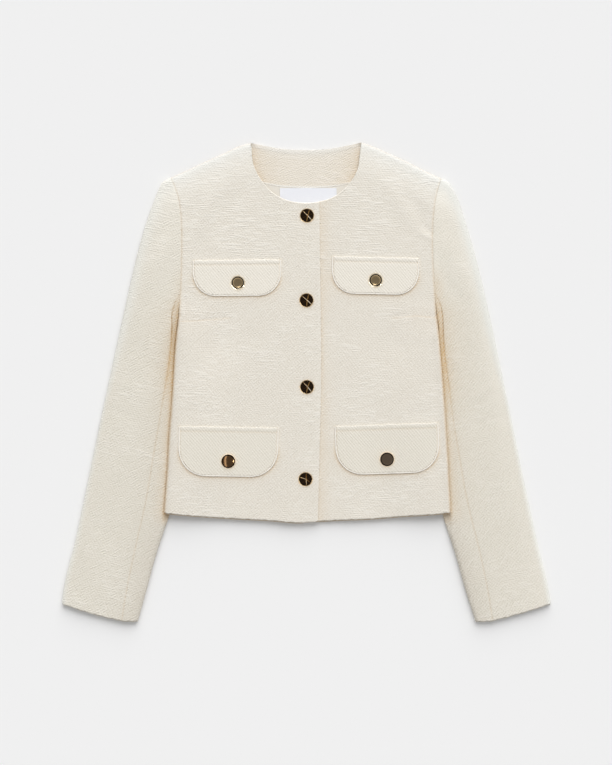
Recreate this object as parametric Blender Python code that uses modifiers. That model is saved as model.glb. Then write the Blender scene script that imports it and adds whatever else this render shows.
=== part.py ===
# Cropped collarless tweed jacket, buttoned and laid flat, face up.
#
# Tables and sizes are in millimetres and go to metres when a mesh is made. The jacket lies on z = 0
# with its neck towards +Y. Right and left are the wearer's, so the right side has x < 0. A table's
# x grows away from the middle line on both sides. Every cloth piece is a wall: a grid of outer
# points, and the same grid moved in by the thickness of the cloth.

import math

import bpy
import numpy as np
from mathutils import Vector
from mathutils.bvhtree import BVHTree

MM = 0.001
SIDES = {"right": -1, "left": 1}

# Layers
WALL = 2.0              # lined tweed
GAP = 0.3               # between pieces at a seam, and between a piece and what it lies on
LAY = 7.9               # front on back: two walls and the air between them
UNDERARM = 108.5        # height of the underarm point
UNDER_LAY = 4.8         # the sleeve's thickness where the body lies on it
LIFT = 5.2              # the body's underside there
LIFT_WIDTH = 90.0       # the body climbs onto the sleeve over this width
LIFT_LENGTH = 40.0      # and over this length, from the underarm down
ROLL_FADE = 0.4         # the side fold's roll fades up the armhole at this rate
ROLL_TIP = 2.5          # tightest outer radius of a folded edge, so that the wall turns inside it
SHOULDER_SLOPE = math.radians(24.5)

# Overlap of the fronts
LAP_RISE = 0.9          # the right front rides up on the left one
LAP_SINK = 1.4          # the left front sinks under it
LAP_END = 24.0          # the step lasts to here from the middle
LAP_FADE = 72.0         # and has faded out here
NECK_COLUMN = 72.0      # foot of the grid column that ends at the side of the neck

# Flaps
FLAP_WALL = 2.2
FLAP_RIDGE = 1.0        # the folded top of a flap stands higher by this
FLAP_RIDGE_WIDTH = 6.0
CORNER_POWER = 2.2      # roundness of a flap's lower corners
PIPING = 2.8            # diameter

# Inside of the neck
FACING_WALL = 1.4
FACING_REACH = 5.0      # it runs on under the fronts by this
FACING_ROWS = np.array((282.0, 294, 306, 318, 331))
FACING_MOST = (72.0, 72, 70, 68, 64)    # clear of the rolled shoulder line
LINING_WALL = 0.8
LINING_FOOT = 238.0
LABEL_WALL = 0.5
LABEL_X = (-36.4, 42.8)
LABEL_Y = (239.0, 272.8)

BUTTON_HEIGHT = 4.6
BUTTON_STEPS = 16
ROLL_ANGLES = np.radians((0, 40, 90))    # grid lines round a rolled edge, from its seam


def table(columns, *rows):
    return {name: np.array(values, float) for name, values in zip(columns.split(), zip(*rows))}


# Side fold from the hem up to the underarm, then the armhole seam up to the shoulder
BODY_EDGE = table(
    "y right left",
    (-181.6, 198.4, 202.2),
    (-120, 193.8, 199.3),
    (-75, 191.4, 196.8),
    (-21, 187.0, 193.0),
    (15, 184.8, 190.2),
    (52, 182.4, 187.0),
    (83, 179.0, 184.0),
    (108.5, 176.8, 181.0),
    (139, 175.3, 179.3),
    (170, 174.7, 178.0),
    (211, 174.4, 177.4),
    (239, 175.8, 179.2),
    (262, 180.0, 182.8),
    (286, 189.0, 189.4),
)

# Height of the shoulder line from the neck to the armhole
SHOULDER = table(
    "x right left",
    (77.5, 335.2, 336.0),
    (92, 331.2, 331.0),
    (117, 319.8, 320.0),
    (142, 308.6, 308.6),
    (165, 297.6, 296.8),
    (189.2, 286.8, 285.4),
)

# Front necklines, from the shoulder line to the front edges
NECKLINE_RIGHT = table(
    "x y",
    (77.5, 335.2),
    (76.4, 320),
    (73.6, 306),
    (66.8, 290),
    (58.6, 278),
    (49.0, 267.8),
    (36.0, 259.2),
    (21.0, 253.6),
    (3.0, 251.4),
    (-18.8, 252.4),
)
NECKLINE_LEFT = table(
    "x y",
    (77.5, 336.0),
    (76.8, 317),
    (73.2, 302),
    (67.0, 287.7),
    (55.0, 272.5),
    (40.6, 261.1),
    (29.0, 256.0),
    (18.9, 253.6),
    (4.0, 250.6),
    (-18.0, 250.2),
)
BACK_NECK = table(
    "x y",
    (-77.5, 335.2),
    (-59, 331.6),
    (-40, 328.0),
    (-20, 326.1),
    (0, 325.4),
    (20, 326.1),
    (40, 328.2),
    (59, 332.0),
    (77.5, 336.0),
)

# Edge of the right front, which laps over the left one, and the hidden edge of the left front
FRONT_EDGE = table(
    "y right left",
    (-194, -16.6, -18.0),
    (-112, -18.8, -18.0),
    (0, -21.2, -18.0),
    (58, -21.2, -18.0),
    (144, -20.2, -18.0),
    (252.4, -18.8, -18.0),
)

# Height of the hem
HEM = table(
    "x right left",
    (-21, -193.8, -194.6),
    (-4, -195.4, -194.6),
    (14, -195.8, -194.0),
    (49, -192.9, -192.2),
    (92, -190.7, -190.5),
    (135, -188.0, -186.9),
    (178, -184.4, -184.1),
    (203, -181.4, -181.4),
)

# Sleeve from the shoulder to the cuff: its outer fold, the front seam between upper and under
# sleeve, and its inner fold, which lies under the body down to the hem
SLEEVE_OUTER = table(
    "y right left",
    (284.2, 195.2, 193.6),
    (280.7, 200.8, 198.4),
    (269.5, 206.9, 206.4),
    (258.3, 211.4, 212.2),
    (235.9, 219.6, 219.8),
    (196.7, 231.7, 231.9),
    (157.5, 241.4, 242.3),
    (118.3, 250.4, 251.6),
    (79.1, 259.0, 260.2),
    (-18.9, 280.3, 280.9),
    (-116.9, 301.0, 300.9),
    (-214.9, 321.5, 322.1),
    (-293.3, 339.9, 340.4),
    (-309.0, 341.8, 343.0),
)
SLEEVE_SEAM_START = 124.0   # where the front seam leaves the armhole
SLEEVE_SEAM = table(
    "y right left",
    (112, 182.6, 186.6),
    (98, 187.2, 190.4),
    (75, 187.8, 191.8),
    (50, 189.2, 193.0),
    (20, 192.8, 196.4),
    (-10, 197.8, 200.6),
    (-50, 204.4, 205.6),
    (-100, 213.0, 214.0),
    (-160, 222.8, 224.4),
    (-240, 240.4, 243.6),
    (-293, 251.2, 254.6),
    (-333, 257.6, 261.0),
)
SLEEVE_BESIDE = np.array((108.5, 101, 93, 85, 77))    # the inner fold lies beside the body here
SLEEVE_INNER = table(
    "y right left",
    (66, 179.2, 184.3),
    (54, 176.8, 182.0),
    (30, 168.0, 173.2),
    (0, 161.0, 166.4),
    (-40, 158.6, 163.6),
    (-80, 161.6, 166.0),
    (-120, 170.4, 173.6),
    (-160, 183.2, 185.4),
    (-188, 192.0, 192.2),
    (-238, 208.8, 208.4),
    (-291, 223.4, 223.4),
    (-333.4, 235.2, 237.0),
)
CUFF_SAG = {"right": (2.0, 0.9), "left": (1.2, 0.8)}    # of the upper and the under sleeve

# Valley between the sleeve and the side of the body
VALLEY_WIDTH = 13.0
VALLEY_LENGTH = 35.0    # it is at its full depth this far below the underarm
VALLEY_FOOT = -188.0    # it fades out from here, just past the hem,
VALLEY_FADE = 45.0      # over this length

# Lower edge of the neck facing
FACING_FOOT = table(
    "x y",
    (-68, 283.4),
    (-42, 278.2),
    (-20, 276.4),
    (0, 276.0),
    (20, 276.6),
    (44, 279.0),
    (68, 284.6),
)

# Each flap with its piping: middle of its top edge, width, height, round of its lower corners, tilt
FLAPS = table(
    "x y width height corner_x corner_y tilt",
    (-96.6, 171.2, 124.0, 50.5, 34, 36, 0.4),
    (97.6, 175.0, 122.5, 52.0, 34, 36, -1.2),
    (-107.8, -62.2, 139.5, 69.5, 41, 42, -1.0),
    (112.2, -58.8, 145.0, 69.0, 41, 42, 2.0),
)
FLAP_NAMES = ("chest_right", "chest_left", "waist_right", "waist_left")

BUTTON_NAMES = ("front_button_1", "front_button_2", "front_button_3", "front_button_4") + tuple(
    f"button_{name}" for name in FLAP_NAMES
)
BUTTONS = table(
    "x y diameter",
    (1.4, 233.1, 20),
    (0.7, 114.8, 20),
    (1.4, -6.3, 20),
    (-0.7, -135.1, 20),
    (-95.2, 139.3, 20),
    (97.3, 142.8, 20),
    (-108.4, -109.9, 21),
    (113.0, -107.1, 21),
)

# Half section of a button: share of its radius and share of its height
BUTTON_PROFILE = table(
    "radius height",
    (0.0, 0.0),
    (0.80, 0.0),
    (0.98, 0.30),
    (1.0, 0.62),
    (0.93, 0.80),
    (0.85, 0.70),
    (0.0, 1.0),
)


# Grid of the body: heights of its rows below and above those of the underarm, numbers of columns,
# and shares of the back's width between the sides of the neck
BODY_ROWS_BELOW = (-181.6, -148, -110, -70, -30, 8, 36, 56, 72, 90)
BODY_ROWS_ABOVE = (138, 170, 204, 228, 242, 254, 266)
YOKE_COLUMNS = 5
CHEST_COLUMNS = 8
BACK_NECK_COLUMNS = np.array((0, 0.06, 0.18, 0.34, 0.5, 0.66, 0.82, 0.94, 1))

# Grid of a sleeve: shares of its length for the rings, and of the width between its rolled folds for
# the columns, which stand close together in the valley beside the body
SLEEVE_RINGS = (
    0, 0.014, 0.035, 0.065, 0.1, 0.14, 0.185, 0.235, 0.29, 0.35, 0.42, 0.5, 0.59, 0.69, 0.79, 0.89, 1,
)
SLEEVE_COLUMNS = np.array((0, 0.25, 0.5, 0.7, 0.84, 0.93, 1))
UNDER_SLEEVE_COLUMNS = np.array((0, 0.25, 0.6))
FRONT_SEAM_COLUMN = len(ROLL_ANGLES) - 2 + len(SLEEVE_COLUMNS)
UNDERSIDE_COLUMNS = [13, 12, 10, 8, 6, 4, 3, 2, 1]    # columns of the face that the underside repeats
ELBOW_COLUMN = 3        # the elbow seam's place, counted back to the outer fold

# Grids of the pieces inside the neck, and of a flap and its piping round their lower corners
FACING_COLUMNS = 11
LABEL_GRID = (7, 3)
FLAP_COLUMNS = 9
FLAP_FOLD = 2.5         # the ridge along a flap's top is level down to here
FLAP_CORNER_ANGLES = (22, 42, 60, 76, 90)
PIPING_CORNER_POINTS = 9
PIPING_FOOT_POINTS = 6

# Places under a button where the cloth's height is read
SEAT_REACH = 0.8        # share of its radius
SEAT_ANGLES = range(0, 360, 45)


# Curves and heights


def hermite(knots, values, at):
    """Values at `at` on a smooth curve through the knots, which rise."""
    slopes = np.gradient(values, knots, axis=0)
    at = np.clip(at, knots[0], knots[-1])
    k = np.clip(np.searchsorted(knots, at, side="right") - 1, 0, len(knots) - 2)
    step = knots[k + 1] - knots[k]
    q = (at - knots[k]) / step
    if values.ndim > 1:
        q, step = q[:, None], step[:, None]
    start = (2 * q**3 - 3 * q**2 + 1) * values[k] + (q**3 - 2 * q**2 + q) * step * slopes[k]
    return start + (3 * q**2 - 2 * q**3) * values[k + 1] + (q**3 - q**2) * step * slopes[k + 1]


def read(rows, name, at, key="y"):
    """A table's column where its key column is `at`."""
    order = np.argsort(rows[key])
    return hermite(rows[key][order], rows[name][order], np.asarray(at, float))


def along(points, shares):
    """Points at shares of the length of a smooth curve through the given ones."""
    points = np.asarray(points, float)
    lengths = np.linalg.norm(np.diff(points, axis=0), axis=1)
    knots = np.concatenate([[0], np.cumsum(lengths)]) / lengths.sum()
    return hermite(knots, points, np.asarray(shares, float))


def plan(x, y):
    return np.stack(np.broadcast_arrays(np.asarray(x, float), np.asarray(y, float)), axis=-1)


def ease(q):
    q = np.clip(q, 0, 1)
    return q * q * (3 - 2 * q)


def roll(distance, radius):
    """Rise of a rolled edge: 0 at its seam and 1 where the roll ends."""
    q = 1 - np.clip(distance / radius, 0, 1)
    return np.sqrt(1 - q * q)


def roll_radius(thickness):
    """Width of a rolled edge whose tip has ROLL_TIP for its radius."""
    return (thickness / 2) ** 2 / ROLL_TIP


ROLL = roll_radius(LAY)


def lift(side, x, y):
    """How far the body is raised by the sleeve under its side."""
    share = ease((x - read(SLEEVE_INNER, side, y)) / LIFT_WIDTH + 1)
    return LIFT * ease((UNDERARM - y) / LIFT_LENGTH) * share


def edge_roll(side, x, y):
    """Roll of the side fold and of the shoulder line."""
    from_side = read(BODY_EDGE, side, y) + ROLL_FADE * np.maximum(y - UNDERARM, 0) - x
    beyond_neck = np.maximum(SHOULDER["x"][0] - x, 0) * math.tan(SHOULDER_SLOPE)
    from_shoulder = (read(SHOULDER, side, x, "x") + beyond_neck - y) * math.cos(SHOULDER_SLOPE)
    return roll(from_side, ROLL) * roll(from_shoulder, ROLL)


def front_height(side, x, y):
    """Outer face of a front."""
    lap = 1 - ease((x - LAP_END) / (LAP_FADE - LAP_END))
    step = LAP_RISE if side == "right" else -LAP_SINK
    return lift(side, x, y) + LAY / 2 + (LAY / 2 + step * lap) * edge_roll(side, x, y)


def back_height(side, x, y):
    """Outer face of the back, which is its underside."""
    return lift(side, x, y) + LAY / 2 * (1 - edge_roll(side, x, y))


def back_inside(points):
    """Inner face of the back at points of the scene's plan."""
    x, y = np.abs(points[..., 0]), points[..., 1]
    return WALL + np.where(points[..., 0] < 0, back_height("right", x, y), back_height("left", x, y))


def sleeve_thickness(side, x, y):
    """Thickness of the sleeve as it lies, away from its folds."""
    from_body = x - read(BODY_EDGE, side, y)
    depth = ease((UNDERARM - y) / VALLEY_LENGTH) * (1 - ease((VALLEY_FOOT - y) / VALLEY_FADE))
    return LAY - (LAY - UNDER_LAY) * depth * (1 - ease(from_body / VALLEY_WIDTH))


# Grids and walls


def coons(bottom, top, start, end, across, up):
    """Grid between four edges: bottom and top run with `across`, start and end with `up`."""
    u = np.asarray(across)[None, :, None]
    v = np.asarray(up)[:, None, None]
    between = (1 - u) * start[:, None] + u * end[:, None] + (1 - v) * bottom[None] + v * top[None]
    corners = (1 - v) * ((1 - u) * bottom[0] + u * bottom[-1]) + v * ((1 - u) * top[0] + u * top[-1])
    return between - corners


def normals_of(points, closed=False):
    """Unit normal at each point of a grid, from the faces round it."""
    if closed:
        points = np.concatenate([points[:, -1:], points, points[:, :1]], axis=1)
    face = np.cross(points[1:, 1:] - points[:-1, :-1], points[1:, :-1] - points[:-1, 1:])
    total = np.zeros_like(points)
    for rows in (slice(None, -1), slice(1, None)):
        for cols in (slice(None, -1), slice(1, None)):
            total[rows, cols] += face
    if closed:
        total = total[:, 1:-1]
    return total / np.linalg.norm(total, axis=-1, keepdims=True)


def level(normals):
    """Normals laid horizontal, for the points on a seam along the middle of a fold."""
    flat = normals * (1, 1, 0)
    return flat / np.linalg.norm(flat, axis=-1, keepdims=True)


def wall(name, outer, inner, collection, finish):
    """Closed solid between two grids with the same rows and columns."""
    rows, cols = outer.shape[:2]
    index = np.arange(rows * cols).reshape(rows, cols)
    quads = np.stack([index[:-1, :-1], index[:-1, 1:], index[1:, 1:], index[1:, :-1]], axis=-1)
    quads = quads.reshape(-1, 4)
    rim = np.concatenate([index[0, :-1], index[:-1, -1], index[-1, :0:-1], index[:0:-1, 0]])
    ahead = np.roll(rim, -1)
    rim_quads = np.stack([ahead, rim, rim + rows * cols, ahead + rows * cols], axis=-1)
    faces = np.concatenate([quads, quads[:, ::-1] + rows * cols, rim_quads])
    points = np.concatenate([outer.reshape(-1, 3), inner.reshape(-1, 3)])
    mesh = bpy.data.meshes.new(name)
    mesh.from_pydata((points * MM).tolist(), [], faces.tolist())
    corners = points[faces[:, :3]]
    fourth = points[faces[:, 3]]
    volume = np.linalg.det(corners).sum()
    volume += np.linalg.det(np.stack([corners[:, 0], corners[:, 2], fourth], axis=1)).sum()
    if volume < 0:
        mesh.flip_normals()
    return add(name, mesh, collection, finish)


def add(name, data, collection, finish):
    obj = bpy.data.objects.new(name, data)
    data.materials.append(finish)
    collection.objects.link(obj)
    return obj


# Body


def body_rows():
    """Shares of the way up a panel, with rows close together at the underarm and the shoulder."""
    steps = ROLL * (1 - np.cos(ROLL_ANGLES))
    armhole = UNDERARM + steps / ROLL_FADE
    top = read(SHOULDER, "right", SHOULDER["x"][-1], "x") - steps[::-1] / math.cos(SHOULDER_SLOPE)
    heights = np.concatenate([BODY_ROWS_BELOW, armhole, BODY_ROWS_ABOVE, top])
    return (heights - heights[0]) / (heights[-1] - heights[0])


def side_columns(width, count):
    """Shares from the side inwards: the roll's own columns, then even ones."""
    steps = ROLL * (1 - np.cos(ROLL_ANGLES)) / width
    return np.concatenate([steps, np.linspace(steps[-1], 1, count + 1)[1:]])


def between_heights(low, high):
    return low + body_rows() * (high - low)


def yoke_plan(side):
    """Plan of the part of a panel that ends at the shoulder line, from the side inwards."""
    rows = body_rows()
    neck_x, neck_y = SHOULDER["x"][0], SHOULDER[side][0]
    end_x = SHOULDER["x"][-1]
    corner = BODY_EDGE[side][0]
    columns = side_columns(corner - NECK_COLUMN, YOKE_COLUMNS)
    bottom_x = corner + columns * (NECK_COLUMN - corner)
    top_x = end_x + columns * (neck_x - end_x)
    hem_y = read(HEM, side, corner, "x")
    y = between_heights(hem_y, SHOULDER[side][-1])
    start = plan(read(BODY_EDGE, side, y), y)
    start[-1, 0] = end_x
    foot_y = read(HEM, side, NECK_COLUMN, "x")
    end = plan(NECK_COLUMN + rows * (neck_x - NECK_COLUMN), between_heights(foot_y, neck_y))
    bottom = plan(bottom_x, read(HEM, side, bottom_x, "x"))
    top = plan(top_x, read(SHOULDER, side, top_x, "x"))
    return coons(bottom, top, start, end, columns, rows)


def chest_plan(side):
    """Plan of a front between the column at the side of the neck and its front edge."""
    rows = body_rows()
    columns = np.linspace(0, 1, CHEST_COLUMNS)
    start = yoke_plan(side)[:, -1]
    neckline = NECKLINE_RIGHT if side == "right" else NECKLINE_LEFT
    top = along(plan(neckline["x"], neckline["y"]), columns)
    edge_x = FRONT_EDGE[side][0]
    y = between_heights(read(HEM, side, edge_x, "x"), top[-1, 1])
    end = plan(read(FRONT_EDGE, side, y), y)
    bottom_x = NECK_COLUMN + columns * (end[0, 0] - NECK_COLUMN)
    bottom = plan(bottom_x, read(HEM, side, bottom_x, "x"))
    top[-1] = end[-1]
    return coons(bottom, top, start, end, columns, rows)


def seam_walls(points, upward, sides, shoulders):
    """Inner grid of a panel whose side and shoulder seams run along the middle of a fold."""
    normals = normals_of(points)
    if (normals[..., 2].mean() > 0) != upward:
        normals = -normals
    for column in sides:
        below_armhole = points[:, column, 1] < UNDERARM + GAP / 2
        normals[below_armhole, column] = level(normals[below_armhole, column])
    for columns in shoulders:
        normals[-1, columns] = level(normals[-1, columns])
    return points - WALL * normals


def make_front(side, collection, finish):
    yoke = yoke_plan(side)
    grid = np.concatenate([yoke, chest_plan(side)[:, 1:]], axis=1)
    x, y = grid[..., 0], grid[..., 1]
    z = front_height(side, x, y)
    outer = np.stack([SIDES[side] * x, y, z + GAP / 2 * (1 - edge_roll(side, x, y))], axis=-1)
    inner = seam_walls(outer, True, [0], [slice(0, yoke.shape[1])])
    return wall(f"front_{side}", outer, inner, collection, finish)


def back_grid():
    rows = body_rows()
    halves = {side: yoke_plan(side) * (SIDES[side], 1) for side in SIDES}
    columns = BACK_NECK_COLUMNS
    start, end = halves["right"][:, -1], halves["left"][:, -1]
    top = along(plan(BACK_NECK["x"], BACK_NECK["y"]), columns)
    top[0], top[-1] = start[-1], end[-1]
    bottom_x = start[0, 0] + columns * (end[0, 0] - start[0, 0])
    side_hem = np.where(bottom_x < 0, read(HEM, "right", -bottom_x, "x"), read(HEM, "left", bottom_x, "x"))
    middle = coons(plan(bottom_x, side_hem), top, start, end, columns, rows)
    return np.concatenate([halves["right"], middle[:, 1:-1], halves["left"][:, ::-1]], axis=1)


def make_back(collection, finish):
    grid = back_grid()
    x, y = np.abs(grid[..., 0]), grid[..., 1]
    on_right = grid[..., 0] < 0
    z = np.where(on_right, back_height("right", x, y), back_height("left", x, y))
    rolled = np.where(on_right, edge_roll("right", x, y), edge_roll("left", x, y))
    outer = np.stack([grid[..., 0], y, z - GAP / 2 * (1 - rolled)], axis=-1)
    yoke = yoke_plan("right").shape[1]
    inner = seam_walls(outer, False, [0, -1], [slice(0, yoke), slice(-yoke, None)])
    return wall("back", outer, inner, collection, finish)


# Sleeves


def sleeve_paths(side):
    """Outer fold, front seam and inner fold in plan, each from the armhole to the cuff."""
    end_x, end_y = SHOULDER["x"][-1], SHOULDER[side][-1]
    seam_start = (read(BODY_EDGE, side, SLEEVE_SEAM_START) + GAP, SLEEVE_SEAM_START)
    beside = plan(read(BODY_EDGE, side, SLEEVE_BESIDE) + GAP, SLEEVE_BESIDE)
    outer = plan(SLEEVE_OUTER[side], SLEEVE_OUTER["y"])
    seam = plan(SLEEVE_SEAM[side], SLEEVE_SEAM["y"])
    inner = plan(SLEEVE_INNER[side], SLEEVE_INNER["y"])
    outer = np.concatenate([[(end_x + GAP, end_y)], outer])
    seam = np.concatenate([[seam_start], seam])
    return outer, seam, np.concatenate([beside, inner])


def sleeve_ring(side, share, shares_upper, shares_under):
    """One ring in plan: from the outer fold to the front seam, and on to the inner fold."""
    outer, seam, inner = (along(path, [share])[0] for path in sleeve_paths(side))
    upper = outer + shares_upper[:, None] * (seam - outer)
    under = seam + shares_under[:, None] * (inner - seam)
    for part, shares, sag in zip((upper, under), (shares_upper, shares_under), CUFF_SAG[side]):
        part[:, 1] -= sag * 4 * shares * (1 - shares) * share**4
    # the first rings follow the armhole, which is hollow
    top, end = SHOULDER[side][-1], SHOULDER["x"][-1]
    straight = end + shares_upper * (read(BODY_EDGE, side, SLEEVE_SEAM_START) - end)
    hollow = read(BODY_EDGE, side, top + shares_upper * (SLEEVE_SEAM_START - top)) - straight
    upper[:, 0] += hollow * (1 - share) ** 6
    return upper, under


def across_path(path, share):
    """Unit vector across a path in plan, to the outer side of the sleeve."""
    ahead, behind = along(path, [min(share + 0.01, 1), max(share - 0.01, 0)])
    down = (ahead - behind) / np.linalg.norm(ahead - behind)
    return np.array((-down[1], down[0]))


def sleeve_section(side, share):
    """Points of one ring: over the face from the outer to the inner fold, and back underneath."""
    (outer, seam), (_, inner) = sleeve_ring(side, share, np.array((0.0, 1.0)), np.array((0.0, 1.0)))
    upper_length = np.linalg.norm(seam - outer)
    under_length = np.linalg.norm(inner - seam)
    outer_path, seam_path, _ = sleeve_paths(side)
    square = abs(across_path(outer_path, share) @ (seam - outer)) / upper_length
    inner_thickness = float(sleeve_thickness(side, inner[0], inner[1]))
    inner_roll = roll_radius(inner_thickness)

    steps = ROLL * (1 - np.cos(ROLL_ANGLES)) / square / upper_length
    shares_upper = np.concatenate([steps[:-1], steps[-1] + SLEEVE_COLUMNS * (1 - steps[-1])])
    steps = inner_roll * (1 - np.cos(ROLL_ANGLES)) / under_length
    shares_under = np.concatenate([(1 - steps[-1]) * UNDER_SLEEVE_COLUMNS, 1 - steps[::-1]])

    upper, under = sleeve_ring(side, share, shares_upper, shares_under)
    parted = GAP / 2 * across_path(seam_path, share)
    upper[-1] += parted
    under[0] -= parted
    ring = np.concatenate([upper, under])
    outer_rise = roll(shares_upper * upper_length * square, ROLL)
    rise = np.concatenate([outer_rise, roll((1 - shares_under) * under_length, inner_roll)])
    middle = np.repeat((LAY / 2, inner_thickness / 2), (len(upper), len(under)))
    top = middle + (sleeve_thickness(side, ring[:, 0], ring[:, 1]) - middle) * rise
    face = np.stack([SIDES[side] * ring[:, 0], ring[:, 1], top], axis=-1)
    underside = np.stack([face[:, 0], face[:, 1], middle * (1 - rise)], axis=-1)
    return np.concatenate([face, underside[UNDERSIDE_COLUMNS]])


def make_sleeve(side, collection, finish):
    """Upper and under sleeve, parted along the front seam and, on the underside, the elbow seam."""
    grid = np.array([sleeve_section(side, share) for share in SLEEVE_RINGS])
    elbow = grid.shape[1] - ELBOW_COLUMN
    toward_outer = grid[:, elbow + 1] - grid[:, elbow]
    parted = toward_outer / np.linalg.norm(toward_outer, axis=-1, keepdims=True) * GAP
    grid = np.insert(grid, elbow + 1, grid[:, elbow] + parted, axis=1)
    normals = normals_of(grid, closed=True)
    for first in (FRONT_SEAM_COLUMN, elbow):
        shared = normals[:, first] + normals[:, first + 1]
        shared /= np.linalg.norm(shared, axis=-1, keepdims=True)
        normals[:, first] = normals[:, first + 1] = shared
    if (normals * (grid - grid.mean(axis=1, keepdims=True))).sum() < 0:
        normals = -normals
    inner = grid - WALL * normals
    under = np.arange(FRONT_SEAM_COLUMN + 1, elbow + 1)
    upper = np.concatenate([np.arange(elbow + 1, grid.shape[1]), np.arange(FRONT_SEAM_COLUMN + 1)])
    wall(f"upper_sleeve_{side}", grid[:, upper], inner[:, upper], collection, finish)
    wall(f"under_sleeve_{side}", grid[:, under], inner[:, under], collection, finish)


# Inside of the neck


def laid_strip(name, grid, thickness, below, collection, finish):
    """A piece that lies on the back's inside, `below` above it."""
    base = back_inside(grid) + below
    outer = np.concatenate([grid, (base + thickness)[..., None]], axis=-1)
    inner = np.concatenate([grid, base[..., None]], axis=-1)
    return wall(name, outer, inner, collection, finish)


def facing_sides():
    """Right and left edge of the facing, from its foot up; it runs on under the fronts."""
    edges = []
    for sign, neckline in ((-1, NECKLINE_RIGHT), (1, NECKLINE_LEFT)):
        order = np.argsort(neckline["y"][:-3])
        x = np.interp(FACING_ROWS, neckline["y"][:-3][order], neckline["x"][:-3][order]) + FACING_REACH
        edges.append(plan(sign * np.minimum(x, FACING_MOST), FACING_ROWS))
    return edges


def make_neck(collection, finishes):
    columns = np.linspace(0, 1, FACING_COLUMNS)
    up = np.linspace(0, 1, len(FACING_ROWS))
    start, end = facing_sides()
    bottom_x = start[0, 0] + columns * (end[0, 0] - start[0, 0])
    bottom = plan(bottom_x, read(FACING_FOOT, "y", bottom_x, "x"))
    top_x = start[-1, 0] + columns * (end[-1, 0] - start[-1, 0])
    top = plan(top_x, read(BACK_NECK, "y", top_x, "x"))
    for edge, column in ((start, 0), (end, -1)):
        edge[0], edge[-1] = bottom[column], top[column]
    facing = coons(bottom, top, start, end, columns, up)
    laid_strip("back_neck_facing", facing, FACING_WALL, GAP, collection, finishes["facing"])

    foot, head = plan(bottom_x, LINING_FOOT), bottom - (0, GAP)
    halfway = (foot + head) / 2
    lining = np.stack([foot, halfway, head])
    laid_strip("back_lining", lining, LINING_WALL, GAP, collection, finishes["lining"])
    label_columns, label_rows = LABEL_GRID
    label = plan(np.linspace(*LABEL_X, label_columns)[None, :], np.linspace(*LABEL_Y, label_rows)[:, None])
    laid_strip("neck_label", label, LABEL_WALL, 2 * GAP + LINING_WALL, collection, finishes["label"])


# Flaps, piping and buttons


def surface_of(obj):
    mesh = obj.data
    return BVHTree.FromPolygons([v.co for v in mesh.vertices], [p.vertices for p in mesh.polygons])


def height_on(surface, x, y):
    """Height of a panel's upper face under a point, in millimetres."""
    hit = surface.ray_cast(Vector((x * MM, y * MM, 1)), Vector((0, 0, -1)))[0]
    return hit.z / MM


def turned(points, centre, degrees):
    angle = math.radians(degrees)
    turn = np.array([[math.cos(angle), math.sin(angle)], [-math.sin(angle), math.cos(angle)]])
    return points @ turn + centre


def flap_half_width(flap, down, margin):
    """Half width of a flap at a distance down from its top, drawn in by a margin."""
    straight = flap["height"] - flap["corner_y"]
    q = np.clip((down - straight) / (flap["corner_y"] - margin), 0, 1)
    corner = flap["corner_x"] - margin
    return flap["width"] / 2 - margin - corner * (1 - (1 - q**CORNER_POWER) ** (1 / CORNER_POWER))


def make_flap(name, flap, surface, collection, finish):
    """Flap with a raised fold along its top, inside its piping."""
    margin = PIPING + GAP
    straight = flap["height"] - flap["corner_y"]
    arc = straight + (flap["corner_y"] - margin) * np.sin(np.radians(FLAP_CORNER_ANGLES))
    halfway = (FLAP_RIDGE_WIDTH + straight) / 2
    down = np.concatenate([[0, FLAP_FOLD, FLAP_RIDGE_WIDTH, halfway, straight], arc])
    across = np.linspace(-1, 1, FLAP_COLUMNS)
    grid = plan(flap_half_width(flap, down, margin)[:, None] * across[None], -down[:, None])
    grid = turned(grid, (flap["x"], flap["y"]), flap["tilt"])
    base = np.array([[height_on(surface, *point) for point in row] for row in grid]) + GAP
    ridge = FLAP_RIDGE * (1 - ease((down - FLAP_FOLD) / (FLAP_RIDGE_WIDTH - FLAP_FOLD)))
    outer = np.concatenate([grid, (base + FLAP_WALL + ridge[:, None])[..., None]], axis=-1)
    inner = np.concatenate([grid, base[..., None]], axis=-1)
    return wall(name, outer, inner, collection, finish)


def make_piping(name, flap, surface, collection, finish):
    """Cord sewn round the sides and the lower edge of a flap."""
    margin = PIPING / 2
    straight = flap["height"] - flap["corner_y"]
    angles = np.linspace(0, np.pi / 2, PIPING_CORNER_POINTS)
    arc = straight + (flap["corner_y"] - margin) * np.sin(angles)
    down = np.concatenate([[GAP, straight / 2], arc])
    half = plan(flap_half_width(flap, down, margin), -down)
    bottom = plan(np.linspace(half[-1, 0], -half[-1, 0], PIPING_FOOT_POINTS)[1:-1], half[-1, 1])
    path = np.concatenate([half, bottom, (half * (-1, 1))[::-1]])
    path = turned(path, (flap["x"], flap["y"]), flap["tilt"])
    curve = bpy.data.curves.new(name, "CURVE")
    curve.dimensions = "3D"
    curve.bevel_depth = PIPING / 2 * MM
    curve.bevel_resolution = 1
    curve.use_fill_caps = True
    spline = curve.splines.new("POLY")
    spline.points.add(len(path) - 1)
    for point, (x, y) in zip(spline.points, path):
        z = height_on(surface, x, y) + GAP + PIPING / 2
        point.co = (x * MM, y * MM, z * MM, 1)
    return add(name, curve, collection, finish)


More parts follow.
